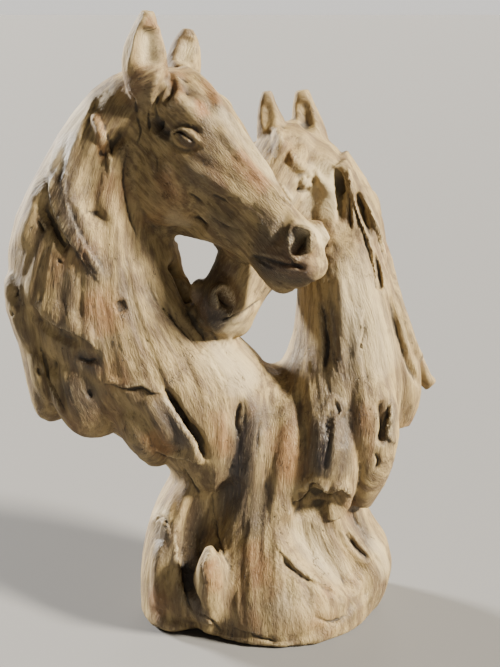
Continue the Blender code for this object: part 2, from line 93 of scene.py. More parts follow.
# along a head: distance from the poll, top, underside, half width, flare of the top, squareness
headSections = [
    (-0.05, 0.000, -0.240, 0.090, 0.00, 2.0),
    (0.03, 0.060, -0.330, 0.125, 0.00, 2.2),
    (0.12, 0.090, -0.430, 0.150, 0.00, 2.3),
    (0.22, 0.095, -0.490, 0.165, 0.10, 2.4),
    (0.33, 0.085, -0.520, 0.160, 0.12, 2.6),
    (0.43, 0.060, -0.510, 0.138, 0.12, 2.9),
    (0.54, 0.035, -0.440, 0.112, 0.10, 3.0),
    (0.66, 0.015, -0.365, 0.095, 0.05, 2.8),
    (0.78, 0.000, -0.335, 0.090, 0.00, 2.3),
    (0.90, 0.000, -0.330, 0.098, 0.00, 2.2),
    (0.98, -0.020, -0.290, 0.090, 0.00, 2.1),
    (1.05, -0.090, -0.220, 0.055, 0.00, 2.0),
]

headBalls = {
    "cheek": ((0.310, 0.082, -0.300), (0.200, 0.106, 0.215)),
    "nostril": ((0.920, 0.056, -0.052), (0.066, 0.042, 0.072)),
    "upper lip": ((0.990, 0.020, -0.130), (0.078, 0.064, 0.070)),
    "lower lip": ((0.930, 0.014, -0.272), (0.085, 0.060, 0.050)),
}
eyeBalls = {               # the same, from the middle of the eye
    "brow": ((-0.077, 0.116, 0.068), (0.090, 0.045, 0.045)),
    "eyeball": ((0.000, 0.130, 0.000), (0.044, 0.042, 0.038)),
}

# limbs: x, y, z, half width in the plane of the picture, half depth
tallNeck = [
    (-13.0, 2.0, 89.0, 4.5, 4.5),
    (-18.7, 1.8, 84.0, 7.6, 6.2),
    (-23.4, 1.2, 74.4, 10.0, 7.4),
    (-25.4, 0.5, 63.5, 13.8, 8.6),
    (-23.4, 0.0, 53.4, 14.2, 9.8),
    (-16.6, -0.5, 44.2, 13.6, 10.6),
    (-7.6, -1.0, 37.2, 12.4, 11.0),
    (-1.5, -0.5, 28.5, 11.4, 11.0),
]
shortNeck = [
    (8.0, 9.0, 79.0, 3.8, 4.6),
    (11.6, 7.4, 74.5, 5.0, 6.0),
    (14.8, 6.0, 66.5, 6.2, 6.8),
    (15.6, 2.8, 57.0, 7.8, 8.8),
    (16.3, 2.0, 48.0, 9.4, 9.6),
    (15.4, 1.5, 39.0, 11.4, 10.6),
    (12.0, 0.5, 30.0, 11.8, 11.2),
    (8.0, 0.0, 23.0, 11.2, 11.0),
]
trunk = [
    (3.2, 0.0, 43.0, 3.0, 3.0),
    (3.2, 0.0, 39.0, 10.0, 8.0),
    (3.4, 0.0, 32.0, 14.0, 11.0),
    (3.6, 0.0, 24.0, 13.6, 11.5),
    (3.8, -1.0, 16.0, 14.0, 12.5),
    (4.4, -2.5, 9.0, 15.4, 13.6),
    (4.8, -3.0, 4.0, 16.8, 14.4),
    (4.8, -3.0, -1.5, 17.0, 14.4),
]
roots = {
    "left": [
        (-8.0, -2.0, 26.0, 4.0, 6.5),
        (-12.4, -3.5, 17.0, 4.6, 7.0),
        (-12.8, -4.0, 8.0, 6.2, 8.6),
        (-12.6, -4.5, -1.5, 6.4, 8.8),
    ],
    "right": [
        (14.0, 0.0, 26.0, 5.0, 7.0),
        (16.6, 0.0, 15.0, 4.6, 8.0),
        (19.8, -0.5, 7.5, 5.4, 8.4),
        (16.6, -1.5, -1.5, 5.0, 8.0),
    ],
    "stub": [
        (-6.5, -10.0, 3.0, 3.6, 5.0),
        (-6.6, -12.8, 9.0, 3.2, 3.8),
        (-6.5, -14.0, 14.0, 2.2, 2.4),
        (-6.4, -14.4, 17.8, 0.9, 0.9),
    ],
}
# the manes' lower ends hang clear of the trunk as broken flaps, front and back
tallFlaps = [
    [
        (-30.0, 1.5, 65.0, 5.0, 6.0),
        (-35.4, 0.5, 57.0, 4.8, 6.4),
        (-34.6, 0.0, 48.0, 3.6, 6.0),
        (-33.4, -0.5, 41.0, 3.8, 5.4),
        (-33.0, -1.0, 36.5, 3.2, 3.8),
        (-32.6, -1.0, 34.6, 1.6, 1.8),
    ],
    [
        (-26.6, 0.0, 57.0, 4.4, 3.6),
        (-26.5, -4.5, 43.0, 6.5, 4.8),
        (-25.4, -5.0, 36.0, 5.0, 3.4),
        (-25.0, -4.6, 33.4, 3.0, 1.8),
    ],
    [
        (-19.4, -2.4, 49.0, 4.0, 3.6),
        (-17.5, -7.0, 37.5, 4.6, 4.0),
        (-15.6, -7.0, 31.5, 3.2, 2.8),
        (-15.0, -6.6, 28.8, 1.8, 1.4),
    ],
    [
        (-26.6, 1.4, 59.0, 4.4, 3.4),
        (-27.0, 5.4, 45.0, 5.6, 4.4),
        (-26.0, 5.6, 38.0, 3.8, 2.8),
        (-25.6, 5.2, 36.0, 2.0, 1.4),
    ],
    [(-19.2, 3.0, 51.0, 4.0, 3.4), (-17.8, 7.4, 39.5, 4.4, 3.6), (-16.4, 7.2, 33.5, 2.6, 2.2)],
]
shortFlaps = [
    [
        (14.0, 7.5, 77.0, 2.4, 3.0),
        (18.6, 6.5, 70.0, 2.4, 3.2),
        (21.2, 5.0, 61.0, 2.4, 3.2),
        (23.9, 4.5, 52.0, 2.2, 2.6),
    ],
    [
        (23.0, 4.5, 54.0, 2.2, 2.8),
        (26.6, 4.2, 45.5, 1.8, 2.0),
        (29.0, 3.8, 41.0, 1.4, 1.4),
        (31.2, 3.6, 38.6, 1.3, 1.1),
    ],
    [
        (19.0, 2.5, 60.0, 3.6, 4.0),
        (23.0, 1.5, 47.0, 4.8, 5.4),
        (25.4, 0.5, 38.5, 3.6, 4.4),
        (25.2, 0.0, 33.0, 2.0, 2.6),
    ],
    [
        (16.8, -1.0, 52.0, 3.8, 3.8),
        (19.0, -5.5, 37.0, 5.4, 5.0),
        (19.6, -6.0, 28.0, 4.0, 4.0),
        (18.4, -6.0, 21.0, 2.0, 2.0),
    ],
    [
        (11.4, -2.6, 46.0, 3.4, 3.4),
        (13.0, -8.0, 32.0, 4.6, 4.4),
        (13.6, -8.8, 24.0, 3.6, 3.0),
        (13.6, -8.6, 20.6, 2.2, 1.6),
    ],
    [
        (16.4, 3.4, 61.0, 3.6, 3.4),
        (19.0, 7.6, 47.0, 5.2, 4.4),
        (19.6, 7.8, 37.0, 4.4, 3.6),
        (19.0, 7.0, 30.5, 2.4, 1.8),
    ],
    [
        (11.8, 3.8, 49.0, 3.4, 3.2),
        (12.6, 8.6, 36.0, 4.4, 4.0),
        (12.4, 8.8, 27.0, 3.4, 3.0),
        (12.0, 8.4, 23.6, 1.8, 1.4),
    ],
    [
        (13.0, 4.6, 76.0, 3.0, 3.0),
        (15.8, 3.8, 70.5, 5.0, 3.4),
        (16.4, 2.2, 66.5, 5.0, 3.6),
        (16.0, 0.2, 62.0, 4.0, 3.6),
    ],
]
ears = [
    [
        (-14.6, -2.0, 85.0, 2.2, 2.0),
        (-15.6, -4.0, 90.5, 3.4, 2.5),
        (-15.6, -4.8, 95.0, 3.1, 1.9),
        (-14.9, -5.0, 100.3, 1.0, 0.9),
    ],
    [
        (-10.8, 3.0, 87.0, 2.8, 2.2),
        (-10.6, 3.8, 91.5, 2.9, 2.0),
        (-10.0, 4.4, 95.0, 2.3, 1.6),
        (-9.6, 4.6, 97.6, 0.9, 0.9),
    ],
    [
        (3.8, 5.0, 78.0, 2.6, 2.0),
        (3.5, 5.4, 82.0, 2.5, 1.7),
        (2.9, 5.6, 85.0, 1.7, 1.2),
        (2.7, 5.6, 88.0, 0.8, 0.7),
    ],
    [
        (10.2, 7.6, 77.5, 3.2, 2.2),
        (9.6, 7.8, 81.5, 2.8, 1.8),
        (8.8, 8.0, 85.0, 2.0, 1.3),
        (8.4, 8.0, 88.0, 1.1, 0.8),
    ],
]


def between(stations, steps):
    # a smooth curve through all the stations, with steps more rows between each two
    points = np.array(stations, float)
    ends = np.vstack([2 * points[0] - points[1], points, 2 * points[-1] - points[-2]])
    rows = []
    for i in range(1, len(ends) - 2):
        before, here, there, after = ends[i - 1 : i + 3]
        for step in range(steps):
            t = step / steps
            bend = (2 * before - 5 * here + 4 * there - after) * t * t
            twist = (3 * here - before - 3 * there + after) * t**3
            rows.append(0.5 * (2 * here + (there - before) * t + bend + twist))
    rows.append(points[-1])
    return np.array(rows)


def loft(clay, rings):
    for ring, following in zip(rings, rings[1:]):
        edges = {edge for vert in ring + following for edge in vert.link_edges}
        loops = [e for e in edges if (set(e.verts) <= set(ring)) or (set(e.verts) <= set(following))]
        bmesh.ops.bridge_loops(clay, edges=loops)
    for ring in (rings[0], rings[-1]):
        bmesh.ops.contextual_create(clay, geom=ring)


def limb(clay, stations, steps=3, sides=24):
    rows = between(stations, steps)
    directions = np.gradient(rows[:, :3], axis=0)
    rings = []
    for row, direction in zip(rows, directions):
        along = Vector(direction).normalized()
        through = (Vector((0, 1, 0)) - along * along.y).normalized()
        across = through.cross(along)
        turn = Matrix((across * row[3], through * row[4], along)).transposed()
        place = Matrix.Translation(row[:3]) @ turn.to_4x4()
        rings.append(bmesh.ops.create_circle(clay, segments=sides, radius=1, matrix=place)["verts"])
    loft(clay, rings)


def headFrame(head):
    # shares of a head's length, as (along, aside, up from the brow line), into places
    poll, nose = Vector(head["poll"]), Vector(head["nose"])
    along = (nose - poll).normalized()
    aside = Vector((0, 0, 1)).cross(along).normalized()
    above = along.cross(aside)
    turn = Matrix((along, aside, above)).transposed()
    length = (nose - poll).length
    depth = length * head["bulk"]
    return Matrix.Translation(poll) @ turn.to_4x4() @ Matrix.Diagonal((length, depth, depth, 1))


def skull(clay, head):
    place = headFrame(head)
    rings = []
    for along, top, bottom, halfWidth, flare, square in between(headSections, 3):
        made = bmesh.ops.create_circle(clay, segments=28, radius=1)["verts"]
        for vert in made:
            side = math.copysign(abs(vert.co.x) ** (2 / square), vert.co.x)
            rise = math.copysign(abs(vert.co.y) ** (2 / square), vert.co.y)
            width = halfWidth * (1 + flare * rise)
            vert.co = place @ Vector((along, side * width, (top + bottom) / 2 + rise * (top - bottom) / 2))
        rings.append(made)
    loft(clay, rings)


def features(clay, head):
    place = headFrame(head)
    eye = Vector((head["eye"][0], 0, head["eye"][1]))
    balls = [(Vector(spot), radii) for spot, radii in headBalls.values()]
    balls += [(Vector(spot) + eye, radii) for spot, radii in eyeBalls.values()]
    for (along, aside, above), radii in balls:
        for side in (1, -1):
            spot = place @ Matrix.Translation((along, aside * side, above)) @ Matrix.Diagonal((*radii, 1))
            bmesh.ops.create_icosphere(clay, subdivisions=3, radius=1, matrix=spot)


def fused(clay, name, voxel, softening):
    bmesh.ops.recalc_face_normals(clay, faces=clay.faces)
    mesh = bpy.data.meshes.new(name)
    clay.to_mesh(mesh)
    clay.free()
    form = bpy.data.objects.new(name, mesh)
    bpy.context.scene.collection.objects.link(form)
    remesh = form.modifiers.new("Fuse", "REMESH")
    remesh.mode = "VOXEL"
    remesh.voxel_size = voxel
    soften = form.modifiers.new("Soften", "SMOOTH")
    soften.factor = 0.5
    soften.iterations = softening
    baked = bpy.data.meshes.new_from_object(form.evaluated_get(bpy.context.evaluated_depsgraph_get()))
    bpy.data.objects.remove(form)
    return baked


def massesOfClay():
    clay = bmesh.new()
    for stations in (tallNeck, shortNeck, trunk):
        limb(clay, stations)
    for head in heads.values():
        skull(clay, head)
    for root in roots.values():
        limb(clay, root)
    return fused(clay, "masses", statue["massGrain"], statue["massSoftening"])


def formsOfClay(rough):
    clay = bmesh.new()
    clay.from_mesh(rough)
    for head in heads.values():
        features(clay, head)
    for stations in tallFlaps + shortFlaps + ears:
        limb(clay, stations)
    return fused(clay, "forms", statue["formGrain"], statue["formSoftening"])


# lines of the grain and the locks from the poll to the foot, in pixels of the 500 x 667 photograph
tallCrest = [(122, 62), (85, 100), (62, 150), (42, 195), (22, 250), (14, 300), (28, 350), (33, 405)]
tallOuter = [(130, 72), (95, 130), (78, 180), (62, 230), (52, 280), (48, 330), (52, 380), (62, 415)]
tallBand = [(138, 85), (112, 150), (98, 210), (92, 260), (90, 310), (96, 360), (104, 400), (128, 430)]
tallJaw = [(140, 128), (122, 200), (120, 265), (128, 310), (142, 355), (162, 400), (184, 445)]
tallSide = [(150, 228), (152, 262), (162, 300), (180, 340), (200, 380), (212, 430), (214, 480)]
throat = [(175, 248), (190, 285), (210, 318), (236, 348), (256, 375), (258, 430), (246, 490)]
shortThroat = [(297, 300), (295, 330), (288, 360), (274, 388), (275, 430), (268, 490)]
shortInner = [(308, 285), (306, 340), (308, 385), (312, 430), (306, 480)]
shortSide = [(326, 255), (330, 310), (338, 360), (346, 410), (348, 455), (342, 490)]
shortBand = [(338, 190), (345, 235), (355, 285), (366, 330), (374, 380), (378, 430), (370, 470)]
shortOuter = [(342, 158), (358, 200), (373, 250), (385, 300), (397, 350), (403, 395), (396, 435)]
shortCrest = [(336, 140), (362, 172), (380, 210), (392, 265), (406, 325), (416, 370), (411, 420)]
footLines = [
    [(178, 474), (156, 520), (148, 570), (146, 605), (152, 626)],
    [(190, 470), (180, 520), (168, 575), (168, 634)],
    [(208, 460), (204, 520), (192, 570), (190, 638)],
    [(228, 450), (226, 510), (216, 570), (215, 640)],
    [(250, 430), (248, 500), (238, 570), (240, 646)],
    [(270, 420), (268, 480), (264, 560), (268, 655)],
    [(286, 480), (288, 530), (300, 590), (304, 652)],
    [(304, 500), (316, 545), (340, 595), (334, 638)],
    [(328, 502), (344, 540), (368, 580), (362, 605)],
    [(356, 496), (368, 535), (388, 570), (388, 588)],
]
lockGroups = [
    [tallCrest, tallOuter, tallBand, tallJaw, tallSide, throat],
    [shortThroat, shortInner, shortSide, shortBand, shortOuter, shortCrest],
    footLines,
]
# each line's place across the grain, so that the three groups read on into one another
flowNumbers = [
    [0, 1, 2, 3, 4, 5],
    [6, 7, 8, 9, 10, 11],
    [3.0, 3.4, 3.9, 4.4, 5.0, 6.0, 6.5, 7.0, 7.6, 8.4],
]

locks = {
    "broad": {"count": 2, "depth": 0.16, "halfWidth": 1.5},
    "fine": {"count": 6, "depth": 0.06, "halfWidth": 0.50},
}
lockShape = {
    "places": 40,          # along each line
    "starts": (0, 12),
    "ends": (28, 41),
    "astray": 0.25,        # how far a lock lies from its even place, as a share of the spacing
    "waves": (4, 9),       # how far round its wave a lock gets, in radians
    "waver": 0.12,
    "ridgeAside": 0.45,
    "ridgeHeight": 0.7,    # of the depth of the cut beside it
    "ridgeWidth": 1.2,     # of the cut's
    "blunt": 0.35,         # share of the length over which each end fades
}

# marks cut (below nought) or raised on both sides of a face, in shares of the head's length:
# height, half width, then the path as (along, up from the brow line)
cheekMarks = {
    "temple": (-0.030, 0.060, [(0.110, -0.120), (0.185, -0.100)]),
    "jaw line": (-0.046, 0.050, [(0.080, -0.200), (0.085, -0.330), (0.150, -0.480), (0.300, -0.560)]),
    "front of the cheek": (-0.022, 0.055, [(0.440, -0.480), (0.535, -0.390), (0.545, -0.290)]),
    "face crest": (0.014, 0.055, [(0.340, -0.160), (0.500, -0.120), (0.680, -0.095)]),
    "under the crest": (-0.010, 0.050, [(0.450, -0.200), (0.600, -0.180), (0.740, -0.170)]),
}
muzzleMarks = {
    "nose ridge": (0.018, 0.034, [(0.360, 0.050), (0.550, 0.020), (0.830, -0.010)]),
    "mouth": (-0.011, 0.014, [(0.785, -0.268), (0.860, -0.210), (0.930, -0.165), (1.015, -0.100)]),
    "nostril": (-0.100, 0.043, [(0.862, 0.030), (0.892, 0.000), (0.925, -0.040), (0.962, -0.085)]),
    "chin": (-0.022, 0.045, [(0.790, -0.325), (0.870, -0.325)]),
    "nostril rim": (
        0.010, 0.020, [(0.985, -0.110), (0.915, -0.098), (0.862, -0.050), (0.830, 0.010), (0.850, 0.048)]
    ),
    "behind the nostril": (-0.010, 0.035, [(0.800, 0.010), (0.820, -0.070), (0.860, -0.130)]),
    "upper lip line": (0.004, 0.022, [(0.800, -0.235), (0.870, -0.175), (0.935, -0.130), (1.010, -0.065)]),
    "lower lip line": (0.004, 0.020, [(0.800, -0.295), (0.870, -0.243), (0.935, -0.197), (1.000, -0.146)]),
}
eyeMarks = {               # the same, from the middle of the eye
    "socket": (-0.012, 0.026, [(-0.064, -0.030), (-0.027, -0.058), (0.033, -0.035), (0.070, 0.035)]),
    "under the brow": (-0.007, 0.022, [(-0.070, -0.016), (-0.058, 0.028), (-0.009, 0.054), (0.043, 0.056)]),
    "brow ridge": (0.011, 0.048, [(-0.152, 0.010), (-0.112, 0.075), (-0.052, 0.105), (0.038, 0.095)]),
    "upper lid": (
        0.005, 0.010, [(-0.066, -0.036), (-0.047, 0.008), (-0.002, 0.030), (0.045, 0.030), (0.084, 0.020)]
    ),
    "lid fold": (-0.003, 0.008, [(-0.062, -0.010), (-0.046, 0.028), (-0.002, 0.050), (0.048, 0.050)]),
    "under the lid": (-0.013, 0.007, [(-0.056, -0.032), (-0.038, 0.000), (0.000, 0.014), (0.045, 0.014)]),
    "lower lid": (0.003, 0.010, [(-0.058, -0.036), (-0.022, -0.046), (0.026, -0.030), (0.062, 0.010)]),
}

# marks of the photographed side: height, half width, then the path in the photograph's pixels
frontMarks = {
    "tall near ear": (-1.1, 2.4, [(150, 68), (149, 48), (151, 26)]),
    "tall far ear": (-0.6, 1.8, [(181, 64), (187, 50), (189, 36)]),
    "short left ear": (-0.5, 1.3, [(270, 128), (268, 114), (266, 102)]),
    "short right ear": (-0.7, 1.6, [(308, 132), (305, 114), (303, 100)]),
    "near ear's rim": (0.30, 0.6, [(127, 72), (133, 50), (139, 28), (147, 15)]),
    "near ear's inner rim": (0.25, 0.6, [(166, 62), (163, 44), (158, 24)]),
    "tall forelock": (0.7, 1.5, [(168, 62), (190, 72), (207, 86), (217, 102), (221, 118)]),
    "tall middle lock": (0.7, 1.3, [(172, 70), (180, 86), (178, 100), (168, 112)]),
    "tall side lock": (0.5, 1.1, [(160, 70), (153, 88), (150, 108), (151, 130)]),
    "tall brown lock": (0.7, 1.4, [(166, 78), (166, 96), (160, 116)]),
    "behind the brown lock": (-0.8, 1.3, [(158, 118), (162, 130), (170, 134)]),
    "brow lobe": (0.55, 1.8, [(178, 108), (189, 102), (199, 102), (205, 110)]),
    "edge of the nose": (0.55, 0.75, [(222, 106), (240, 130), (258, 156), (276, 180), (292, 202)]),
    "side of the nose": (-0.35, 1.6, [(226, 124), (244, 150), (262, 174), (280, 196)]),
    "short forelock": (0.4, 1.6, [(282, 128), (288, 146), (298, 162)]),
    "short side lock": (0.3, 1.4, [(300, 130), (309, 146), (318, 158)]),
    "short poll": (0.4, 1.2, [(276, 126), (278, 146), (282, 162)]),
    "short hollow by the eye": (-0.3, 1.0, [(283, 146), (290, 160), (296, 169)]),
    "short hollow behind the eye": (-0.7, 0.9, [(312, 168), (314, 176), (315, 184)]),
    "short eye bulb": (0.8, 1.2, [(300, 179), (303, 181), (306, 183)]),
    "under the short eye": (-0.5, 0.7, [(296, 188), (304, 191), (311, 188)]),
    "short mane's light strand": (0.3, 1.0, [(346, 164), (348, 195), (350, 226)]),
    "far nostril": (-0.9, 2.2, [(322, 216), (329, 226), (330, 240)]),
    "short horse's cheek": (0.2, 3.0, [(326, 176), (328, 206), (324, 240)]),
    "valley left of the middle": (-1.2, 2.8, [(236, 396), (240, 426), (236, 466), (222, 510), (208, 545)]),
    "valley right of the middle": (-0.7, 2.2, [(268, 392), (272, 424), (268, 470), (258, 530)]),
    "behind the short horse's jaw": (-0.9, 1.4, [(336, 166), (339, 186), (340, 206), (338, 222)]),
    "upper hollow of the short mane": (-0.9, 1.4, [(357, 194), (363, 212), (371, 238)]),
    "lower hollow of the short mane": (-1.1, 1.2, [(373, 252), (379, 272), (380, 290)]),
    "notch under the short mane": (-1.4, 1.3, [(380, 400), (385, 425), (380, 446)]),
    "cavity over the right root": (-1.5, 1.8, [(298, 501), (311, 494), (322, 498), (334, 496), (348, 502)]),
    "under the hem": (-1.7, 2.9, [(290, 510), (308, 507), (328, 508), (346, 511)]),
    "sweep of the right root": (-1.8, 4.4, [(292, 512), (308, 542), (334, 568), (360, 586)]),
    "ridge of the right root": (0.8, 2.2, [(326, 508), (346, 532), (372, 562)]),
    "under the sweep": (-0.2, 1.6, [(275, 552), (295, 574), (318, 588)]),
    "slit in the right root": (-0.4, 1.0, [(343, 532), (357, 550), (368, 561)]),
    "beside the stub": (-1.5, 2.2, [(198, 487), (191, 520), (187, 556), (191, 588), (199, 616)]),
    "left lobe": (0.9, 2.6, [(160, 540), (158, 575), (162, 610)]),
    "over the rim": (-0.3, 1.2, [(150, 606), (185, 622), (230, 632), (270, 641), (320, 630), (386, 574)]),
    "rim": (0.25, 1.4, [(150, 618), (185, 632), (230, 641), (270, 650), (320, 640), (384, 586)]),
    "mane band": (0.4, 2.6, [(68, 118), (56, 160), (58, 200), (70, 232), (84, 252), (94, 272), (102, 284)]),
    "mane, light strand": (0.4, 1.6, [(74, 148), (70, 182), (79, 216), (94, 246), (103, 270)]),
    "mane, lump": (1.0, 3.4, [(46, 176), (32, 214), (22, 250)]),
    "mane, fold": (-0.8, 1.6, [(42, 196), (50, 218), (60, 238), (68, 252)]),
    "mane, slanting strand": (0.5, 2.5, [(22, 276), (34, 300), (56, 313), (76, 326), (97, 348)]),
    "under the slanting strand": (-0.7, 1.5, [(30, 308), (48, 327), (64, 337), (86, 343)]),
    "mane, edge lock": (0.6, 1.6, [(12, 268), (9, 292), (16, 318), (27, 346)]),
    "mane, left flap": (0.6, 1.5, [(34, 352), (38, 378), (50, 404)]),
    "between the left flaps": (-0.6, 1.4, [(52, 352), (58, 384), (66, 414)]),
    "red strands": (0.5, 1.0, [(90, 108), (100, 134), (108, 164), (106, 186)]),
    "valley along the jaw": (-0.7, 2.2, [(124, 130), (120, 170), (126, 210), (134, 240), (134, 270)]),
    "neck, long groove": (-0.4, 1.6, [(147, 277), (156, 300), (171, 318), (190, 336), (208, 358)]),
    "neck, inner groove": (-0.3, 1.4, [(176, 286), (186, 306), (198, 328), (214, 350)]),
    "neck, knot": (-0.7, 1.2, [(119, 300), (121, 306), (123, 313)]),
    "chest, cleft": (-1.2, 1.4, [(164, 388), (174, 404), (184, 420), (198, 438), (206, 462)]),
    "chest, left flap": (0.8, 2.2, [(146, 396), (158, 420), (172, 446)]),
    "chest, dark hollow": (-0.5, 1.8, [(74, 354), (88, 358), (102, 360)]),
    "short neck, groove": (-0.5, 1.3, [(322, 300), (326, 334), (325, 372)]),
    "short neck, ridge": (0.5, 1.3, [(338, 270), (342, 320), (342, 372)]),
    "short neck, crust": (0.35, 0.9, [(326, 404), (334, 398), (341, 406), (338, 418)]),
    "short chest, groove": (-0.5, 1.3, [(328, 408), (327, 436), (322, 470)]),
    "outer lock": (0.7, 1.1, [(386, 240), (396, 290), (408, 330), (422, 364), (432, 384)]),
    "inside the outer lock": (-0.9, 1.0, [(390, 296), (398, 330), (408, 362), (420, 386)]),
}

# edges of overlapping sheets of wood: how high, how wide the raised side is, then the path; the side
# to the viewer's left of a path that runs downwards is the raised one
ledges = {
    "band's outer edge": (
        0.4, 2.56, [(104, 288), (90, 270), (76, 250), (62, 228), (50, 196), (52, 158), (64, 122)]
    ),
    "band's inner edge": (0.3, 2.03, [(78, 140), (66, 178), (70, 210), (84, 240), (98, 262), (106, 282)]),
    "slanting strand's underside": (0.32, 2.4, [(100, 354), (84, 338), (62, 328), (44, 316), (30, 300)]),
    "left flap's edge": (0.35, 2.16, [(40, 346), (46, 372), (58, 398), (66, 418)]),
    "crest's edge": (0.3, 2.16, [(98, 92), (86, 124), (76, 150)]),
    "red strand's edge": (0.25, 1.62, [(96, 106), (106, 134), (112, 164), (108, 190)]),
    "neck's long edge": (0.3, 2.43, [(150, 282), (162, 306), (182, 328), (204, 354), (216, 372)]),
    "chest flake": (0.35, 1.62, [(164, 394), (152, 392), (140, 386), (126, 388), (112, 383), (96, 383)]),
    "chest cleft's edge": (0.7, 2.2, [(162, 386), (173, 404), (183, 421), (196, 440), (204, 462)]),
    "left flap over the waist": (0.5, 2.16, [(204, 466), (190, 460), (172, 456), (152, 450)]),
    "middle, left edge": (0.3, 1.89, [(238, 400), (234, 424), (236, 446), (232, 470)]),
    "short neck's edge": (0.35, 2.16, [(320, 300), (325, 336), (323, 372)]),
    "short neck, far edge": (0.3, 1.89, [(363, 308), (365, 334), (359, 360)]),
    "short chest's edge": (0.35, 2.03, [(330, 402), (328, 436), (322, 478)]),
    "ragged hem": (0.7, 1.8, [(352, 499), (340, 488), (328, 492), (314, 481), (300, 497), (292, 502)]),
    "short mane's hem": (0.45, 1.89, [(398, 446), (386, 436), (388, 414), (392, 396)]),
    "sweep's lower edge": (0.25, 2.4, [(356, 604), (326, 588), (300, 572), (284, 556), (274, 544)]),
    "slit's edge": (0.3, 1.62, [(340, 528), (356, 548), (370, 562)]),
    "stub's left edge": (0.4, 2.16, [(206, 584), (203, 566), (210, 548)]),
    "left lobe's edge": (0.4, 2.43, [(176, 520), (178, 556), (186, 596), (196, 620)]),
    "fork": (0.35, 1.49, [(150, 522), (160, 516), (168, 524), (172, 538)]),
    "short mane, near strand": (0.6, 1.1, [(352, 232), (351, 208), (348, 184), (346, 166)]),
    "short mane, twisted strand": (0.6, 1.1, [(378, 292), (372, 262), (364, 232), (354, 204), (350, 184)]),
    "short mane, outer strand": (0.5, 1.2, [(388, 276), (380, 242), (370, 214), (358, 192)]),
    "band by the jaw": (0.3, 2.43, [(128, 140), (122, 176), (128, 214), (138, 244)]),
}

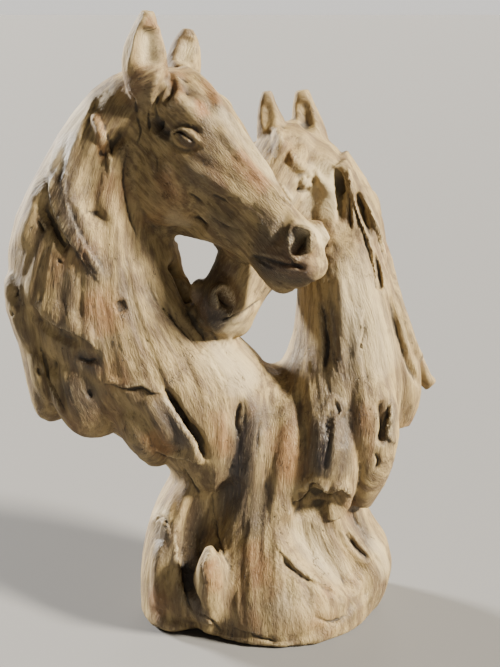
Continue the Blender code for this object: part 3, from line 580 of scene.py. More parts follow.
# splits in the wood, narrow and deep, in the photograph's pixels: depth, half width, path
splits = {
    "mane, upper left": (-0.7, 0.48, [(37, 218), (41, 226), (45, 233)]),
    "mane, left edge": (-0.63, 0.46, [(17, 286), (17, 293), (16, 298)]),
    "mane, left edge low": (-0.42, 0.42, [(11, 310), (13, 317)]),
    "mane, fold": (-0.63, 0.48, [(46, 208), (54, 224), (60, 238), (66, 247)]),
    "mane, fold end": (-0.49, 0.46, [(58, 258), (61, 264)]),
    "band, long": (-0.35, 0.42, [(80, 248), (90, 266), (99, 278)]),
    "jaw, long": (-0.28, 0.42, [(112, 120), (106, 150), (108, 186)]),
    "neck, long": (-0.42, 0.42, [(147, 277), (155, 299), (170, 317), (186, 335), (200, 352), (209, 362)]),
    "neck, inner": (-0.35, 0.42, [(184, 306), (197, 328), (212, 350)]),
    "chest, cleft": (-0.84, 0.75, [(166, 392), (173, 404), (184, 420), (196, 440), (202, 456)]),
    "chest, flake": (-0.35, 0.42, [(116, 386), (130, 390), (142, 388), (156, 395)]),
    "chest, small pit": (-0.56, 0.48, [(89, 388), (91, 399)]),
    "chest, hollow": (-0.35, 0.46, [(78, 356), (88, 360), (98, 358)]),
    "chest, left notch": (-0.56, 0.48, [(38, 366), (40, 376)]),
    "middle, upper": (-0.63, 0.46, [(241, 400), (237, 418), (239, 440)]),
    "middle, lower": (-0.42, 0.42, [(234, 452), (230, 476)]),
    "middle, dark slot": (-0.42, 0.46, [(262, 420), (258, 440), (256, 460)]),
    "short neck, near": (-0.49, 0.46, [(324, 324), (328, 345), (325, 368)]),
    "short neck, far": (-0.63, 0.42, [(363, 312), (364, 330), (361, 346), (358, 360)]),
    "short chest": (-0.63, 0.48, [(329, 410), (327, 424), (326, 440)]),
    "short chest, knot": (-0.3, 0.42, [(336, 404), (339, 411), (334, 416)]),
    "short mane, notch": (-0.4, 0.5, [(388, 398), (387, 414), (384, 430)]),
    "short mane, low": (-0.56, 0.48, [(374, 452), (378, 462), (373, 472)]),
    "left root, forked": (-0.56, 0.46, [(155, 520), (163, 518), (169, 532)]),
    "left root, waist": (-0.56, 0.51, [(182, 466), (190, 480), (200, 494)]),
    "left root, long": (-0.3, 0.42, [(212, 480), (214, 512), (220, 544), (232, 572)]),
    "right root, slit": (-0.5, 0.45, [(344, 534), (356, 549), (368, 561)]),
    "right root, edge": (-0.42, 0.42, [(352, 508), (356, 520), (362, 530)]),
    "right root, crease": (-0.3, 0.45, [(277, 555), (290, 568), (304, 579), (318, 586)]),
    "front root, crack": (-0.35, 0.42, [(312, 616), (330, 622), (350, 614)]),
    "rim, left": (-0.35, 0.42, [(196, 612), (210, 620), (224, 634)]),
    "rim, front": (-0.28, 0.42, [(216, 622), (250, 634), (276, 642), (300, 640)]),
    "cheek, crack": (-0.28, 0.42, [(186, 190), (196, 197), (204, 203)]),
    "cheek, second crack": (-0.35, 0.42, [(212, 194), (222, 199), (230, 205)]),
    "cheek, third crack": (-0.28, 0.42, [(216, 200), (232, 198), (240, 200)]),
    "cheek, scratch": (-0.24, 0.42, [(154, 152), (157, 162), (156, 174)]),
    "cheek, low scratch": (-0.21, 0.42, [(160, 186), (164, 192), (162, 198)]),
    "jaw, crack": (-0.28, 0.42, [(206, 212), (222, 224), (244, 232)]),
    "jaw, low crack": (-0.28, 0.42, [(212, 234), (226, 240), (236, 250)]),
    "nose, edge": (-0.35, 0.42, [(278, 196), (288, 204), (297, 209)]),
    "nose, scratch": (-0.21, 0.42, [(256, 166), (266, 180), (276, 192)]),
    "lip, crack": (-0.35, 0.42, [(252, 256), (266, 264), (278, 272)]),
    "lip, second crack": (-0.35, 0.42, [(284, 254), (294, 264), (306, 270)]),
    "temple, slit": (-0.42, 0.42, [(148, 100), (149, 116), (149, 136)]),
    "forelock, slit": (-0.4, 0.42, [(176, 73), (183, 78), (189, 83)]),
    "poll, left": (-0.35, 0.42, [(128, 92), (134, 100), (138, 116)]),
    "short mane, leaf hollow": (-1.3, 1.0, [(337, 164), (340, 186), (341, 206), (339, 224)]),
    "short mane, second hollow": (-1.2, 0.95, [(356, 192), (362, 208), (370, 238)]),
    "short mane, third hollow": (-1.0, 0.8, [(374, 252), (379, 272), (381, 292)]),
    "poll, lower": (-0.28, 0.42, [(134, 112), (140, 128), (136, 150)]),
}


class Carver:
    # gathers strokes on a mesh, then moves its vertices along their normals, all at once

    def __init__(self, mesh):
        self.mesh = mesh
        self.points = readVectors(mesh.vertices, "co")
        self.normals = readVectors(mesh.vertices, "normal")
        self.rise = np.zeros(len(self.points))
        self.upward = np.argsort(self.points[:, 2])
        self.heights = self.points[self.upward, 2]
        clay = bmesh.new()
        clay.from_mesh(mesh)
        self.skin = BVHTree.FromBMesh(clay)
        clay.free()

    def cast(self, starts, looks):
        runs = [[]]
        for start, look in zip(starts, looks):
            place = self.skin.ray_cast(start, look)[0]
            if not place or (runs[-1] and (place - runs[-1][-1]).length > statue["skinDrop"]):
                runs.append([])
            if place:
                runs[-1].append(place)
        return [run for run in runs if len(run) > 2]

    def seen(self, pixels, behind=False):
        # what the photograph's pixels show of the skin, or what lies straight behind them
        tip = photo["tip"]
        ahead = Vector((0, math.cos(tip), -math.sin(tip))) * photo["focal"]
        raised = Vector((0, math.sin(tip), math.cos(tip)))
        mirror = Vector((1, -1 if behind else 1, 1))
        looks = []
        for right, down in pixels:
            look = ahead + raised * (photo["centre"][1] - down) + Vector((right - photo["centre"][0], 0, 0))
            looks.append(look * mirror)
        return self.cast([Vector(photo["eye"]) * mirror] * len(looks), looks)

    def reach(self, places, halfWidth, blunt):
        # the vertices near a path, how strongly a stroke along it takes each, and on which side they lie
        path = np.array(places)
        nearest = np.full(len(self.points), np.inf)
        along = np.zeros(len(self.points))
        side = np.zeros(len(self.points))
        for first in range(0, len(path) - 1, 6):
            part = path[first : first + 7]
            low, high = part.min(0) - halfWidth, part.max(0) + halfWidth
            lowest, highest = np.searchsorted(self.heights, (low[2], high[2]))
            slab = self.upward[lowest:highest]
            slabPoints = self.points[slab]
            chosen = slab[np.all((slabPoints > low) & (slabPoints < high), axis=1)]
            if not len(chosen):
                continue
            start, span = part[:-1], np.diff(part, axis=0)
            lengths = np.maximum(np.einsum("ij,ij->i", span, span), 1e-9)
            away = self.points[chosen, None] - start
            share = np.clip(np.einsum("kij,ij->ki", away, span) / lengths, 0, 1)
            gaps = np.linalg.norm(away - share[..., None] * span, axis=2)
            closest = gaps.argmin(1)
            row = np.arange(len(chosen))
            gap = gaps[row, closest] / halfWidth
            better = gap < nearest[chosen]
            leftward = np.cross(span[closest], self.normals[chosen])
            leftward /= np.maximum(np.linalg.norm(leftward, axis=1, keepdims=True), 1e-9)
            offset = away[row, closest] - share[row, closest, None] * span[closest]
            side[chosen[better]] = np.einsum("ij,ij->i", offset, leftward)[better]
            nearest[chosen[better]] = gap[better]
            along[chosen[better]] = ((first + closest + share[row, closest]) / (len(path) - 1))[better]
        taken = np.flatnonzero(nearest < 1)
        fade = np.clip(np.minimum(along[taken], 1 - along[taken]) / blunt, 0, 1)
        return taken, (1 - nearest[taken] ** 2) ** 2 * fade * (2 - fade), side[taken]

    def stroke(self, places, height, halfWidth, blunt=0.25):
        taken, share, _ = self.reach(places, halfWidth, blunt)
        self.rise[taken] += height * share

    def ledge(self, places, height, halfWidth, edge=0.22):
        # raised on one side, with a steep edge along the path and a narrow groove at its foot
        taken, share, side = self.reach(places, halfWidth, 0.3)
        step = np.clip(side / edge * 0.5 + 0.5, 0, 1)
        groove = np.clip(1 + side / (halfWidth * 0.5), 0, 1) * (side < 0)
        self.rise[taken] += height * share * (step * step * (3 - 2 * step) - 0.45 * groove)

    def finish(self):
        self.points = self.points + self.normals * self.rise[:, None]
        self.mesh.vertices.foreach_set("co", self.points.ravel())
        self.mesh.update()


def readVectors(items, name):
    values = np.empty(len(items) * 3)
    items.foreach_get(name, values)
    return values.reshape(-1, 3)


def carveFace(carver, head):
    place = headFrame(head)
    scale = place.to_scale().x
    aside = place.to_3x3() @ Vector((0, 1, 0))
    marks = [(mark, (0, 0), 1) for mark in muzzleMarks.values()]
    marks += [(mark, (0, 0), head["cheekMarks"]) for mark in cheekMarks.values()]
    marks += [(mark, head["eye"], head["eyeMarks"]) for mark in eyeMarks.values()]
    for (height, halfWidth, path), spot, seenShare in marks:
        for side, share in ((1, seenShare), (-1, 1)):
            line = between(np.add(path, spot), 5)
            starts = [place @ Vector((along, side * 0.4, above)) for along, above in line]
            for run in carver.cast(starts, [-side * aside] * len(starts)):
                carver.stroke(run, height * share * scale, halfWidth * scale)


def resampled(path, count):
    steps = np.linspace(0, len(path) - 1, count)
    return np.array([np.interp(steps, np.arange(len(path)), column) for column in path.T]).T


def carveLocks(carver, lines, chance, lock, behind=False):
    # wavering locks, each a ridge with a cut beside it, between each line and the next
    shape, count = lockShape, lock["count"]
    runs = [resampled(between(line, 5), shape["places"]) for line in lines]
    for left, right in zip(runs, runs[1:]):
        for i in range(count):
            share = (i + 0.5 + chance.uniform(-shape["astray"], shape["astray"])) / count
            turns = np.linspace(0, chance.uniform(*shape["waves"]), shape["places"])
            wave = shape["waver"] * np.sin(turns + chance.uniform(0, 6.3)) / count
            first, last = chance.integers(*shape["starts"]), chance.integers(*shape["ends"])
            cut = (0, -lock["depth"], lock["halfWidth"])
            ridge = (
                shape["ridgeAside"] / count,
                lock["depth"] * shape["ridgeHeight"],
                lock["halfWidth"] * shape["ridgeWidth"],
            )
            for offset, rise, width in (cut, ridge):
                shares = (share + wave + offset)[first:last, None]
                path = left[first:last] * (1 - shares) + right[first:last] * shares
                for run in carver.seen(path, behind):
                    carver.stroke(run, rise, width, shape["blunt"])


def carve(mesh):
    carver = Carver(mesh)
    chance = np.random.default_rng(statue["seed"])
    for head in heads.values():
        carveFace(carver, head)
    for behind in (False, True):
        for lines in lockGroups:
            carveLocks(carver, lines, chance, locks["broad"], behind)
    for height, halfWidth, path in frontMarks.values():
        for run in carver.seen(between(path, 6)):
            carver.stroke(run, height, halfWidth)
    carver.finish()


def wear(mesh):
    # chosen places rubbed smooth, each vertex drawn towards its neighbours
    clay = bmesh.new()
    clay.from_mesh(mesh)
    everyAxis = {"use_axis_x": True, "use_axis_y": True, "use_axis_z": True}
    for middle, reach, rounds in statue["worn"]:
        chosen = [vert for vert in clay.verts if (vert.co - Vector(middle)).length < reach]
        for _ in range(rounds):
            bmesh.ops.smooth_vert(clay, verts=chosen, factor=0.5, **everyAxis)
    clay.to_mesh(mesh)
    clay.free()


def ragged(path, chance, amount):
    # the path with its places pushed about by up to so many pixels, the ends left alone
    push = chance.uniform(-amount, amount, path.shape)
    push[[0, -1]] = 0
    return path + push


def carveFinely(mesh):
    carver = Carver(mesh)
    chance = np.random.default_rng(statue["seed"] + 1)
    for behind in (False, True):
        for lines in lockGroups:
            carveLocks(carver, lines, chance, locks["fine"], behind)
    for height, halfWidth, path in ledges.values():
        for run in carver.seen(ragged(between(path, 8), chance, 0.4)):
            carver.ledge(run, height, halfWidth)
    for height, halfWidth, path in splits.values():
        for run in carver.seen(ragged(between(path, 8), chance, 0.5)):
            carver.stroke(run, height, halfWidth, 0.5)
    carver.finish()


# the wood's grain: how fine it is across and along, and how deep it is cut, in hundredths of the height
grain = {
    "acrossLine": 5.0,     # noise cells from one flow line to the next
    "acrossDepth": 0.80,   # cells per hundredth from front to back
    "along": 0.11,         # cells per hundredth down the grain
    "headAcross": 1.0,
    "headAlong": 0.16,
    "ridgeHeight": 0.09,
    "crackDepth": 0.10,
    "crackWidth": 0.06,
    "roughness": 0.04,
    "headRelief": 0.6,     # of the relief's height elsewhere
    "linePlaces": 60,
    "linesBetween": 6,     # from each line to the next
    "nearest": 5,          # places that a vertex takes its number from
    "evening": 60,         # rounds of evening out
    "hollowRounds": {"fineHollow": 5, "broadHollow": 70},
}


def neighbourMean(mesh):
    # a function that gives each vertex the mean of the ones joined to it
    edges = np.empty(len(mesh.edges) * 2, int)
    mesh.edges.foreach_get("vertices", edges)
    first, second = edges[0::2], edges[1::2]
    count = len(mesh.vertices)
    joined = np.bincount(first, minlength=count) + np.bincount(second, minlength=count)

    def mean(values):
        if values.ndim > 1:
            return np.column_stack([mean(column) for column in values.T])
        total = np.bincount(first, values[second], count) + np.bincount(second, values[first], count)
        return total / joined

    return mean


def flowField(mesh):
    # each vertex's place across the grain of the manes and the trunk, as the number of its flow line
    carver = Carver(mesh)
    places, numbers = [], []
    for lines, lineNumbers in zip(lockGroups, flowNumbers):
        runs = [resampled(between(line, 5), grain["linePlaces"]) for line in lines]
        for i in range(len(lines) - 1):
            for share in np.linspace(0, 1, grain["linesBetween"]):
                path = runs[i] * (1 - share) + runs[i + 1] * share
                number = lineNumbers[i] * (1 - share) + lineNumbers[i + 1] * share
                for behind in (False, True):
                    for run in carver.seen(path, behind):
                        places += run
                        numbers += [number] * len(run)
    tree = KDTree(len(places))
    for i, place in enumerate(places):
        tree.insert(place, i)
    tree.balance()
    field = np.empty(len(carver.points))
    for i, point in enumerate(carver.points):
        found = tree.find_n(point, grain["nearest"])
        weights = [1 / (gap + 0.3) ** 2 for _, _, gap in found]
        field[i] = sum(w * numbers[near] for w, (_, near, _) in zip(weights, found)) / sum(weights)
    mean = neighbourMean(mesh)
    for _ in range(grain["evening"]):
        field = mean(field)
    return field


def headShares(points):
    # how much each point belongs to a head, and its place along and across that head's grain
    weights = np.zeros(len(points))
    vectors = np.zeros((len(points), 3))
    for head in heads.values():
        clay = bmesh.new()
        skull(clay, head)
        tree = BVHTree.FromBMesh(clay)
        clay.free()
        place = headFrame(head)
        inward = np.array(place.inverted())
        length = place.to_scale().x
        shares = points @ inward[:3, :3].T + inward[:3, 3]
        close = np.all((shares > (-0.15, -0.35, -0.65)) & (shares < (1.2, 0.35, 0.25)), axis=1)
        for i in np.flatnonzero(close):
            gap = tree.find_nearest(points[i])[3]
            edge = min(max((shares[i, 0] - 0.02) / 0.10, 0), 1)
            weight = min(max((3.2 - gap) / 2.0, 0), 1) * edge
            if weight > weights[i]:
                weights[i] = weight
                vectors[i] = shares[i] * length
    return weights, vectors


def grainVectors(points, field):
    weights, onHead = headShares(points)
    flow = np.column_stack(
        [field * grain["acrossLine"], points[:, 1] * grain["acrossDepth"], points[:, 2] * grain["along"]]
    )
    face = onHead * (grain["headAlong"], grain["headAcross"], grain["headAcross"])
    return weights, flow, face


def crackLine(value):
    share = max(0.0, 1 - abs(value) / grain["crackWidth"])
    return share * share


def woodRelief(vector):
    ridge = noise.fractal(vector, 0.8, 2.1, 3)
    patch = noise.noise(vector * 0.23 + Vector((7, 3, 1)))
    crack = crackLine(noise.noise(vector * 0.55 + Vector((1, 9, 4)))) * max(0.0, min(1.0, patch * 3 + 0.3))
    return grain["ridgeHeight"] * ridge - grain["crackDepth"] * crack


def roughen(mesh, weights, flow, face):
    carver = Carver(mesh)
    for i, point in enumerate(carver.points):
        weight = weights[i]
        rise = 0.0
        if weight < 1:
            rise += (1 - weight) * woodRelief(Vector(flow[i]))
        if weight > 0:
            rise += weight * grain["headRelief"] * woodRelief(Vector(face[i]))
        rise += grain["roughness"] * noise.noise(Vector(point) * 0.9)
        carver.rise[i] = rise
    carver.finish()


def hollows(mesh, rounds):
    # how far each vertex lies below the skin around it
    points = readVectors(mesh.vertices, "co")
    normals = readVectors(mesh.vertices, "normal")
    mean = neighbourMean(mesh)
    smooth = points
    for _ in range(rounds):
        smooth = mean(smooth)
    return np.einsum("ij,ij->i", smooth - points, normals)


def storeNumbers(mesh, name, values):
    layer = mesh.attributes.new(name, "FLOAT", "POINT")
    layer.data.foreach_set("value", np.asarray(values, np.float32))


def storeVectors(mesh, name, values):
    layer = mesh.attributes.new(name, "FLOAT_VECTOR", "POINT")
    layer.data.foreach_set("vector", np.asarray(values, np.float32).ravel())


# paint laid over the photographed side, with painted highlights in the pale layer: strength, half width,
# path in the photograph's pixels
stainsAndHighlights = {
    "plum": [
        (0.9, 2.4, [(68, 130), (62, 170), (64, 205), (78, 240), (92, 262), (104, 284)]),
        (0.9, 3.0, [(292, 222), (290, 245), (298, 262)]),
        (1.0, 1.3, [(301, 230), (304, 240), (306, 250)]),
        (1.0, 3.8, [(250, 258), (272, 268), (296, 274), (312, 268)]),
        (0.6, 4.5, [(256, 232), (272, 240), (286, 250)]),
        (0.5, 3.5, [(190, 158), (204, 180), (218, 196)]),
        (0.5, 3.0, [(206, 212), (224, 226), (244, 244)]),
        (1.0, 5.0, [(204, 284), (206, 305), (216, 322), (232, 326)]),
        (0.8, 3.6, [(226, 256), (216, 272), (210, 286)]),
        # this plum also darkens the chest's dark hollow: painted shade as well as plum
        (0.9, 2.5, [(74, 356), (90, 362), (102, 374)]),
        (0.7, 4.0, [(62, 376), (80, 394), (104, 404)]),
        (0.9, 3.0, [(160, 398), (172, 424), (186, 450)]),
        (1.0, 3.8, [(264, 398), (248, 430), (240, 460), (236, 492), (230, 522)]),
        (0.7, 2.8, [(262, 480), (256, 510), (252, 540)]),
        (0.8, 2.4, [(200, 498), (191, 540), (191, 590), (204, 626)]),
        (1.0, 3.0, [(325, 412), (324, 450), (320, 478)]),
        (0.8, 2.4, [(345, 398), (347, 440), (342, 480)]),
        (0.6, 1.8, [(328, 300), (331, 340), (326, 372)]),
        (0.6, 2.8, [(352, 300), (351, 345), (345, 390)]),
        (0.7, 2.4, [(396, 404), (390, 430), (384, 446)]),
        (0.7, 2.6, [(160, 520), (165, 546), (168, 566)]),
        (0.7, 2.2, [(350, 500), (364, 530), (374, 554)]),
        (0.6, 1.8, [(168, 68), (178, 84), (192, 92), (198, 106)]),
        # this plum also darkens the hollow by the eye: painted shade as well as plum
        (0.9, 1.7, [(156, 116), (162, 128), (172, 135)]),
        (0.5, 3.0, [(126, 80), (134, 92), (140, 112)]),
        (0.6, 2.0, [(210, 92), (222, 110), (230, 124)]),
    ],
    "rust": [
        (1.0, 1.5, [(194, 104), (201, 108), (205, 118)]),
        (0.7, 1.1, [(172, 76), (178, 92), (171, 104)]),
        (0.6, 1.6, [(202, 78), (214, 92), (221, 106)]),
        (0.9, 2.4, [(236, 148), (252, 170), (268, 192)]),
        (0.8, 1.2, [(96, 112), (101, 134), (105, 164)]),
        (0.7, 3.6, [(92, 288), (102, 308), (112, 336)]),
        (0.8, 3.2, [(278, 424), (288, 455), (294, 488)]),
        (0.6, 2.6, [(216, 410), (220, 436), (220, 460)]),
        (0.8, 2.6, [(150, 430), (162, 446), (172, 456)]),
        (0.7, 3.2, [(152, 586), (156, 604), (164, 618)]),
        (0.7, 2.6, [(248, 540), (260, 566), (266, 590)]),
        (0.7, 1.8, [(208, 558), (214, 576), (216, 594)]),
        (0.6, 1.2, [(144, 20), (156, 24), (161, 48)]),
        (0.5, 1.6, [(286, 140), (290, 152), (292, 164)]),
        (0.5, 2.2, [(362, 400), (364, 430), (360, 462)]),
        (0.5, 2.6, [(160, 170), (170, 190), (186, 206)]),
    ],
    # pale: partly cream dry brush, mostly painted highlights where the light falls: the ears' rims, the
    # crest's edge, the nose's edge, the short horse's cheek and eye, the chest, the short neck's right side
    # and the lit sweep of the base
    "pale": [
        (0.9, 2.2, [(150, 28), (150, 48), (150, 66)]),
        (0.8, 1.7, [(192, 40), (187, 52), (181, 64)]),
        (0.9, 4.2, [(320, 160), (324, 205), (318, 244)]),
        (0.9, 1.5, [(300, 176), (303, 180), (306, 184)]),
        (0.7, 4.6, [(208, 344), (234, 368), (252, 394)]),
        (0.5, 3.4, [(228, 322), (244, 338), (256, 356)]),
        (0.7, 4.6, [(345, 256), (372, 330), (388, 376)]),
        (0.8, 2.8, [(92, 86), (78, 110), (66, 136), (52, 172)]),
        (0.6, 1.6, [(214, 104), (245, 138), (275, 180), (296, 204)]),
        (0.7, 3.2, [(298, 516), (316, 550), (344, 578)]),
        (0.6, 2.4, [(370, 536), (384, 558), (386, 578)]),
        (0.8, 1.3, [(150, 514), (160, 512), (168, 516)]),
        (0.4, 3.4, [(276, 596), (296, 606), (316, 604)]),
        (0.5, 2.2, [(166, 214), (178, 222), (192, 226)]),
    ],
}


# lays each layer of paint on the skin, the pale layer's painted highlights among them
def paintStainsAndHighlights(mesh):
    carver = Carver(mesh)
    for name, strokes in stainsAndHighlights.items():
        layer = np.zeros(len(carver.points))
        for strength, halfWidth, path in strokes:
            for run in carver.seen(between(path, 6)):
                taken, share, _ = carver.reach(run, halfWidth, 0.3)
                layer[taken] = np.maximum(layer[taken], strength * np.sqrt(share))
        storeNumbers(mesh, name, layer)


# how strongly each eyeball is darkened, as painted shade
def paintEyes(mesh):
    points = readVectors(mesh.vertices, "co")
    layer = np.zeros(len(points))
    for head in heads.values():
        place = headFrame(head)
        (along, aside, above), radii = eyeBalls["eyeball"]
        along, above = along + head["eye"][0], above + head["eye"][1]
        for side, strength in ((1, head["eyePaintAndShade"]), (-1, 1)):
            ball = place @ Matrix.Translation((along, aside * side, above)) @ Matrix.Diagonal((*radii, 1))
            inward = np.array(ball.inverted())
            away = np.linalg.norm(points @ inward[:3, :3].T + inward[:3, 3], axis=1)
            layer = np.maximum(layer, strength * np.clip((1.12 - away) / 0.12, 0, 1))
    storeNumbers(mesh, "eye", layer)


def thinned(mesh, most):
    form = bpy.data.objects.new("thinned", mesh)
    bpy.context.scene.collection.objects.link(form)
    thin = form.modifiers.new("Thin", "DECIMATE")
    thin.ratio = most / sum(len(face.vertices) - 2 for face in mesh.polygons)
    baked = bpy.data.meshes.new_from_object(form.evaluated_get(bpy.context.evaluated_depsgraph_get()))
    bpy.data.objects.remove(form)
    return baked


def roundFoot(mesh):
    # the skin near the floor drawn in along its own direction, as worn by handling
    points = readVectors(mesh.vertices, "co")
    normals = readVectors(mesh.vertices, "normal") * (1, 1, 0)
    depth = np.clip(1 - points[:, 2] / statue["footRound"], 0, 1)
    outward = normals / np.maximum(np.linalg.norm(normals, axis=1, keepdims=True), 0.3)
    points -= outward * (statue["footRound"] * (1 - np.sqrt(1 - depth * depth)))[:, None]
    mesh.vertices.foreach_set("co", points.ravel())
    mesh.update()


def standFlat(mesh):
    clay = bmesh.new()
    clay.from_mesh(mesh)
    everything = clay.verts[:] + clay.edges[:] + clay.faces[:]
    cut = bmesh.ops.bisect_plane(
        clay, geom=everything, plane_co=(0, 0, 0), plane_no=(0, 0, 1), clear_inner=True
    )
    rim = [part for part in cut["geom_cut"] if isinstance(part, bmesh.types.BMEdge)]
    bmesh.ops.contextual_create(clay, geom=rim)
    bmesh.ops.triangulate(clay, faces=clay.faces)
    bmesh.ops.recalc_face_normals(clay, faces=clay.faces)
    clay.to_mesh(mesh)
    clay.free()


def fitToFrame(mesh):
    # into the box of the node that this skin stands for
    low, high = (np.array(corner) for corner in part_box(statue["node"]))
    points = readVectors(mesh.vertices, "co")
    least, most = points.min(0), points.max(0)
    shift = (low + high) / 2 - (least + most) / 2 * (high - low) / (most - least)
    points = low + (points - least) / (most - least) * (high - low)
    mesh.vertices.foreach_set("co", points.ravel())
    mesh.update()
    return shift


finish = {
    "cream": (0.33, 0.238, 0.102),
    "tan": (0.125, 0.080, 0.036),
    "umber": (0.012, 0.009, 0.007),
    "plum": (0.026, 0.018, 0.016),
    "rust": (0.205, 0.095, 0.030),
    "pale": (0.50, 0.405, 0.235),
    "eye": (0.024, 0.015, 0.011),
    "tanMottle": 0.55,     # from here on, how strongly each layer is laid
    "plumPatches": 0.45,
    "rustPatches": 0.35,
    "hairWash": 0.40,
    # the hollows' dark umber is partly painted shade
    "hollowWashAndShade": 0.80,
    "creviceWash": 0.85,
    "raisedHairs": 0.22,
    "ridgeBrush": 0.5,
    "paleBrushAndHighlights": 0.75,
    "eyeGlazeAndShade": 0.65,
    "roughness": (0.38, 0.70),
    "speckle": 0.12,
    "grainBump": 0.8,
    "bumpDistance": 0.0011,
}


class NodeTree:
    # short ways to add the shader's nodes and join them

    def __init__(self, owner, shader):
        owner.use_nodes = True
        self.tree = owner.node_tree
        self.shader = self.tree.nodes[shader]
        self.column = -2000

    def add(self, kind, **settings):
        node = self.tree.nodes.new(kind)
        node.location = (self.column, -len(self.tree.nodes) * 40)
        self.column += 60
        for name, value in settings.items():
            setattr(node, name, value)
        return node

    def feed(self, socket, value):
        if isinstance(value, bpy.types.NodeSocket):
            self.tree.links.new(value, socket)
        else:
            socket.default_value = value

    def attribute(self, name, output="Fac"):
        return self.add("ShaderNodeAttribute", attribute_name=name).outputs[output]

    def math(self, operation, first, second=0.5, clamp=False):
        node = self.add("ShaderNodeMath", operation=operation, use_clamp=clamp)
        self.feed(node.inputs[0], first)
        self.feed(node.inputs[1], second)
        return node.outputs[0]

    def spread(self, value, low, high, outLow=0.0, outHigh=1.0):
        node = self.add("ShaderNodeMapRange", interpolation_type="SMOOTHSTEP")
        for name, item in zip(("Value", "From Min", "From Max", "To Min", "To Max"),
                              (value, low, high, outLow, outHigh)):
            self.feed(node.inputs[name], item)
        return node.outputs[0]

    def noise(self, vector, scale, detail=3.0, roughness=0.55):
        node = self.add("ShaderNodeTexNoise")
        self.feed(node.inputs["Vector"], vector)
        node.inputs["Scale"].default_value = scale
        node.inputs["Detail"].default_value = detail
        node.inputs["Roughness"].default_value = roughness
        return node.outputs["Fac"]

    def mix(self, share, first, second):
        node = self.add("ShaderNodeMix", data_type="RGBA")
        self.feed(node.inputs[0], share)
        self.feed(node.inputs[6], first if isinstance(first, bpy.types.NodeSocket) else (*first, 1))
        self.feed(node.inputs[7], second if isinstance(second, bpy.types.NodeSocket) else (*second, 1))
        return node.outputs[2]

    def mixNumber(self, share, first, second):
        node = self.add("ShaderNodeMix", data_type="FLOAT")
        self.feed(node.inputs[0], share)
        self.feed(node.inputs[2], first)
        self.feed(node.inputs[3], second)
        return node.outputs[0]


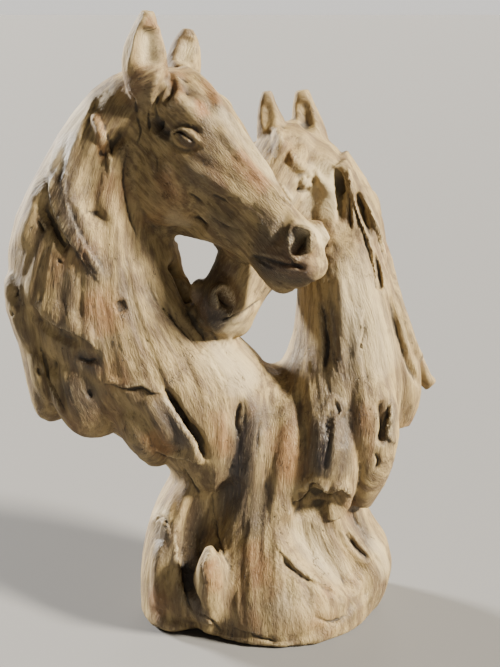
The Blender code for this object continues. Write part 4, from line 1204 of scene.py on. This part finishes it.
def driftwoodPaint():
    material = bpy.data.materials.new("driftwood paint on cast resin")
    nodes = NodeTree(material, "Principled BSDF")
    place = nodes.add("ShaderNodeTexCoord").outputs["Object"]
    flow = nodes.attribute("flow", "Vector")
    face = nodes.attribute("face", "Vector")
    onHead = nodes.attribute("onHead")
    fineHollow = nodes.attribute("fineHollow")
    broadHollow = nodes.attribute("broadHollow")

    def alongGrain(scale, detail=3.0, roughness=0.55):
        return nodes.mixNumber(onHead, nodes.noise(flow, scale, detail, roughness),
                               nodes.noise(face, scale * 1.1, detail, roughness))

    hairs = alongGrain(4.2, 4.0, 0.65)
    streaks = alongGrain(0.9, 3.0)
    bands = alongGrain(0.25, 2.0)
    mottle = nodes.noise(place, 55.0, 4.0, 0.6)
    blotches = nodes.noise(place, 14.0, 2.0)
    otherBlotches = nodes.noise(place, 21.0, 2.0)
    speckle = nodes.noise(place, 900.0, 2.0)
    crevice = nodes.math("ABSOLUTE", nodes.math("SUBTRACT", alongGrain(1.3, 2.0, 0.6), 0.5))
    crevice = nodes.spread(crevice, 0.0, 0.013, 1.0, 0.0)
    crevice = nodes.math("MULTIPLY", crevice, nodes.spread(mottle, 0.53, 0.64))

    # cream over tan, in streaks along the grain
    colour = nodes.mix(nodes.spread(streaks, 0.34, 0.64, 0.05, 1.0), finish["tan"], finish["cream"])
    tanPatches = nodes.math("MULTIPLY", nodes.spread(mottle, 0.45, 0.70), finish["tanMottle"])
    colour = nodes.mix(tanPatches, colour, finish["tan"])

    # plum and rust washes: where they were laid on the front, and in patches all round
    wander = nodes.math("MULTIPLY", nodes.spread(blotches, 0.52, 0.66), finish["plumPatches"])
    wander = nodes.math("MULTIPLY", wander, nodes.spread(bands, 0.45, 0.60))
    plumWash = nodes.math("MAXIMUM", nodes.attribute("plum"), wander)
    plumWash = nodes.math("MULTIPLY", plumWash, nodes.spread(streaks, 0.25, 0.60, 0.65, 1.0))
    colour = nodes.mix(plumWash, colour, finish["plum"])
    rustWander = nodes.math("MULTIPLY", nodes.spread(otherBlotches, 0.56, 0.70), finish["rustPatches"])
    rustWash = nodes.math("MAXIMUM", nodes.attribute("rust"), rustWander)
    rustWash = nodes.math("MULTIPLY", rustWash, nodes.spread(mottle, 0.30, 0.60, 0.50, 1.0))
    colour = nodes.mix(rustWash, colour, finish["rust"])

    # dark umber left in the hollows and in the hairlines of the grain; in the hollows it is also painted
    # shade, darker the deeper and broader the hollow
    pale = nodes.attribute("pale")
    hollow = nodes.spread(fineHollow, 0.02, 0.16)
    hollow = nodes.math("ADD", hollow, nodes.spread(broadHollow, 0.25, 1.60), True)
    hairline = nodes.math("MULTIPLY", nodes.spread(hairs, 0.46, 0.33), finish["hairWash"])
    washAndShade = nodes.math("MAXIMUM", nodes.math("MULTIPLY", hollow, finish["hollowWashAndShade"]), hairline)
    washAndShade = nodes.math("MAXIMUM", washAndShade, nodes.math("MULTIPLY", crevice, finish["creviceWash"]))
    # less of the dark where the painted highlights lie
    washAndShade = nodes.math("MULTIPLY", washAndShade, nodes.spread(pale, 0.0, 1.0, 1.0, 0.35))
    colour = nodes.mix(washAndShade, colour, finish["umber"])

    # dry brush on the ridges and the raised hairs, and the pale layer's painted highlights
    ridge = nodes.math("MULTIPLY", nodes.spread(fineHollow, -0.04, -0.20), nodes.spread(hairs, 0.42, 0.60))
    raisedHairs = nodes.math("MULTIPLY", nodes.spread(hairs, 0.56, 0.68), finish["raisedHairs"])
    dry = nodes.math("MULTIPLY", ridge, finish["ridgeBrush"])
    dry = nodes.math("MAXIMUM", dry, nodes.math("MULTIPLY", pale, finish["paleBrushAndHighlights"]))
    dry = nodes.math("MAXIMUM", dry, raisedHairs)
    dry = nodes.math("MULTIPLY", dry, nodes.math("SUBTRACT", 1.0, washAndShade, True))
    colour = nodes.mix(dry, colour, finish["pale"])
    # the eyes glazed dark, which stands in for the shade on the eyeballs: painted shade
    eye = nodes.attribute("eye")
    colour = nodes.mix(nodes.math("MULTIPLY", eye, finish["eyeGlazeAndShade"]), colour, finish["eye"])
    nodes.feed(nodes.shader.inputs["Base Color"], colour)

    glazed = nodes.math("MAXIMUM", plumWash, eye)
    rough = nodes.mixNumber(glazed, finish["roughness"][1], finish["roughness"][0])
    nodes.feed(nodes.shader.inputs["Roughness"], rough)

    height = nodes.math("ADD", hairs, nodes.math("MULTIPLY", speckle, finish["speckle"]))
    height = nodes.math("SUBTRACT", height, crevice)
    bump = nodes.add("ShaderNodeBump")
    bump.inputs["Strength"].default_value = finish["grainBump"]
    bump.inputs["Distance"].default_value = finish["bumpDistance"]
    nodes.feed(bump.inputs["Height"], height)
    nodes.feed(nodes.shader.inputs["Normal"], bump.outputs["Normal"])
    return material


def report(stage, mesh):
    seconds = time.perf_counter() - started
    print(f"{stage}: {len(mesh.vertices)} points, {len(mesh.polygons)} faces, {seconds:.0f} s")


def makeStatue():
    mesh = formsOfClay(massesOfClay())
    report("clay forms", mesh)
    roundFoot(mesh)
    carve(mesh)
    wear(mesh)
    report("broad carving", mesh)
    carveFinely(mesh)
    report("fine carving", mesh)
    field = flowField(mesh)
    report("lines of the grain", mesh)
    points = readVectors(mesh.vertices, "co")
    weights, flow, face = grainVectors(points, field)
    roughen(mesh, weights, flow, face)
    report("grain", mesh)
    storeNumbers(mesh, "onHead", weights)
    # how deep each hollow lies, which the paint darkens as painted shade
    for name, rounds in grain["hollowRounds"].items():
        storeNumbers(mesh, name, hollows(mesh, rounds))
    storeVectors(mesh, "flow", flow)
    storeVectors(mesh, "face", face)
    paintStainsAndHighlights(mesh)
    paintEyes(mesh)
    report("paint", mesh)
    mesh = thinned(mesh, statue["mostTriangles"])
    standFlat(mesh)
    shift = fitToFrame(mesh)
    mesh.materials.clear()
    mesh.materials.append(driftwoodPaint())
    mesh.shade_smooth()
    mesh.set_sharp_from_angle(angle=math.radians(statue["sharpAngle"]))
    report("finished skin", mesh)
    piece = bpy.data.objects.new("driftwood_horses", mesh)
    bpy.context.scene.collection.objects.link(piece)
    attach(piece, "root")
    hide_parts(statue["node"])
    return shift


room = {
    "floorSize": 300.0,
    "floorColour": (0.165, 0.162, 0.157),
    "floorRoughness": 0.85,
    "floorTone": (1.00, 0.97, 0.92),     # what the floor looks like far away, carried on past its edge
    # from the horizon up: from which rise to which, and the colour there
    "sky": {
        "horizon": (0.014, 0.05, (0.14, 0.137, 0.133)),
        "above": (0.05, 0.30, (0.022, 0.022, 0.023)),
    },
    # name: towards the light, strength, angle of its disc in degrees, colour
    "suns": {
        "key": ((1.0, -0.32, 0.62), 17.0, 9, (1.0, 0.93, 0.80)),
        "side": ((-1.0, 0.60, 0.45), 14.0, 10, (1.0, 0.97, 0.92)),
        "front": ((-0.30, -1.0, 0.55), 0.1, 40, (1.0, 0.95, 0.88)),
        "back": ((0.15, 1.0, 0.50), 1.0, 25, (1.0, 0.96, 0.90)),
    },
}


def makeFloor():
    clay = bmesh.new()
    bmesh.ops.create_grid(clay, x_segments=2, y_segments=2, size=room["floorSize"] / 2)
    mesh = bpy.data.meshes.new("floor")
    clay.to_mesh(mesh)
    clay.free()
    material = bpy.data.materials.new("plain pale floor")
    shader = NodeTree(material, "Principled BSDF").shader
    shader.inputs["Base Color"].default_value = (*room["floorColour"], 1)
    shader.inputs["Roughness"].default_value = room["floorRoughness"]
    mesh.materials.append(material)
    floor = bpy.data.objects.new("floor", mesh)
    bpy.context.scene.collection.objects.link(floor)


def makeSky():
    world = bpy.data.worlds.new("studio")
    nodes = NodeTree(world, "Background")
    split = nodes.add("ShaderNodeSeparateXYZ")
    nodes.feed(split.inputs[0], nodes.add("ShaderNodeTexCoord").outputs["Generated"])
    shade = room["floorTone"]
    for low, high, colour in room["sky"].values():
        shade = nodes.mix(nodes.spread(split.outputs["Z"], low, high), shade, colour)
    nodes.feed(nodes.shader.inputs["Color"], shade)
    bpy.context.scene.world = world


def makeSuns():
    for name, (towards, strength, angle, colour) in room["suns"].items():
        lamp = bpy.data.lights.new(name, "SUN")
        lamp.energy = strength
        lamp.angle = math.radians(angle)
        lamp.color = colour
        light = bpy.data.objects.new(name, lamp)
        light.rotation_euler = Vector(towards).to_track_quat("Z", "Y").to_euler()
        bpy.context.scene.collection.objects.link(light)


def makeCamera(shift):
    lens = bpy.data.cameras.new("camera")
    lens.sensor_width = photo["sensor"]
    lens.lens = photo["sensor"] / 2 / (photo["centre"][1] / photo["focal"])
    camera = bpy.data.objects.new("camera", lens)
    camera.location = Vector(photo["eye"]) * (statue["height"] / 100) + Vector(shift)
    camera.rotation_euler = (math.pi / 2 - photo["tip"], 0, 0)
    bpy.context.scene.collection.objects.link(camera)
    bpy.context.scene.camera = camera


shift = makeStatue()
makeFloor()
makeSky()
makeSuns()
makeCamera(shift)
print("scene finished")
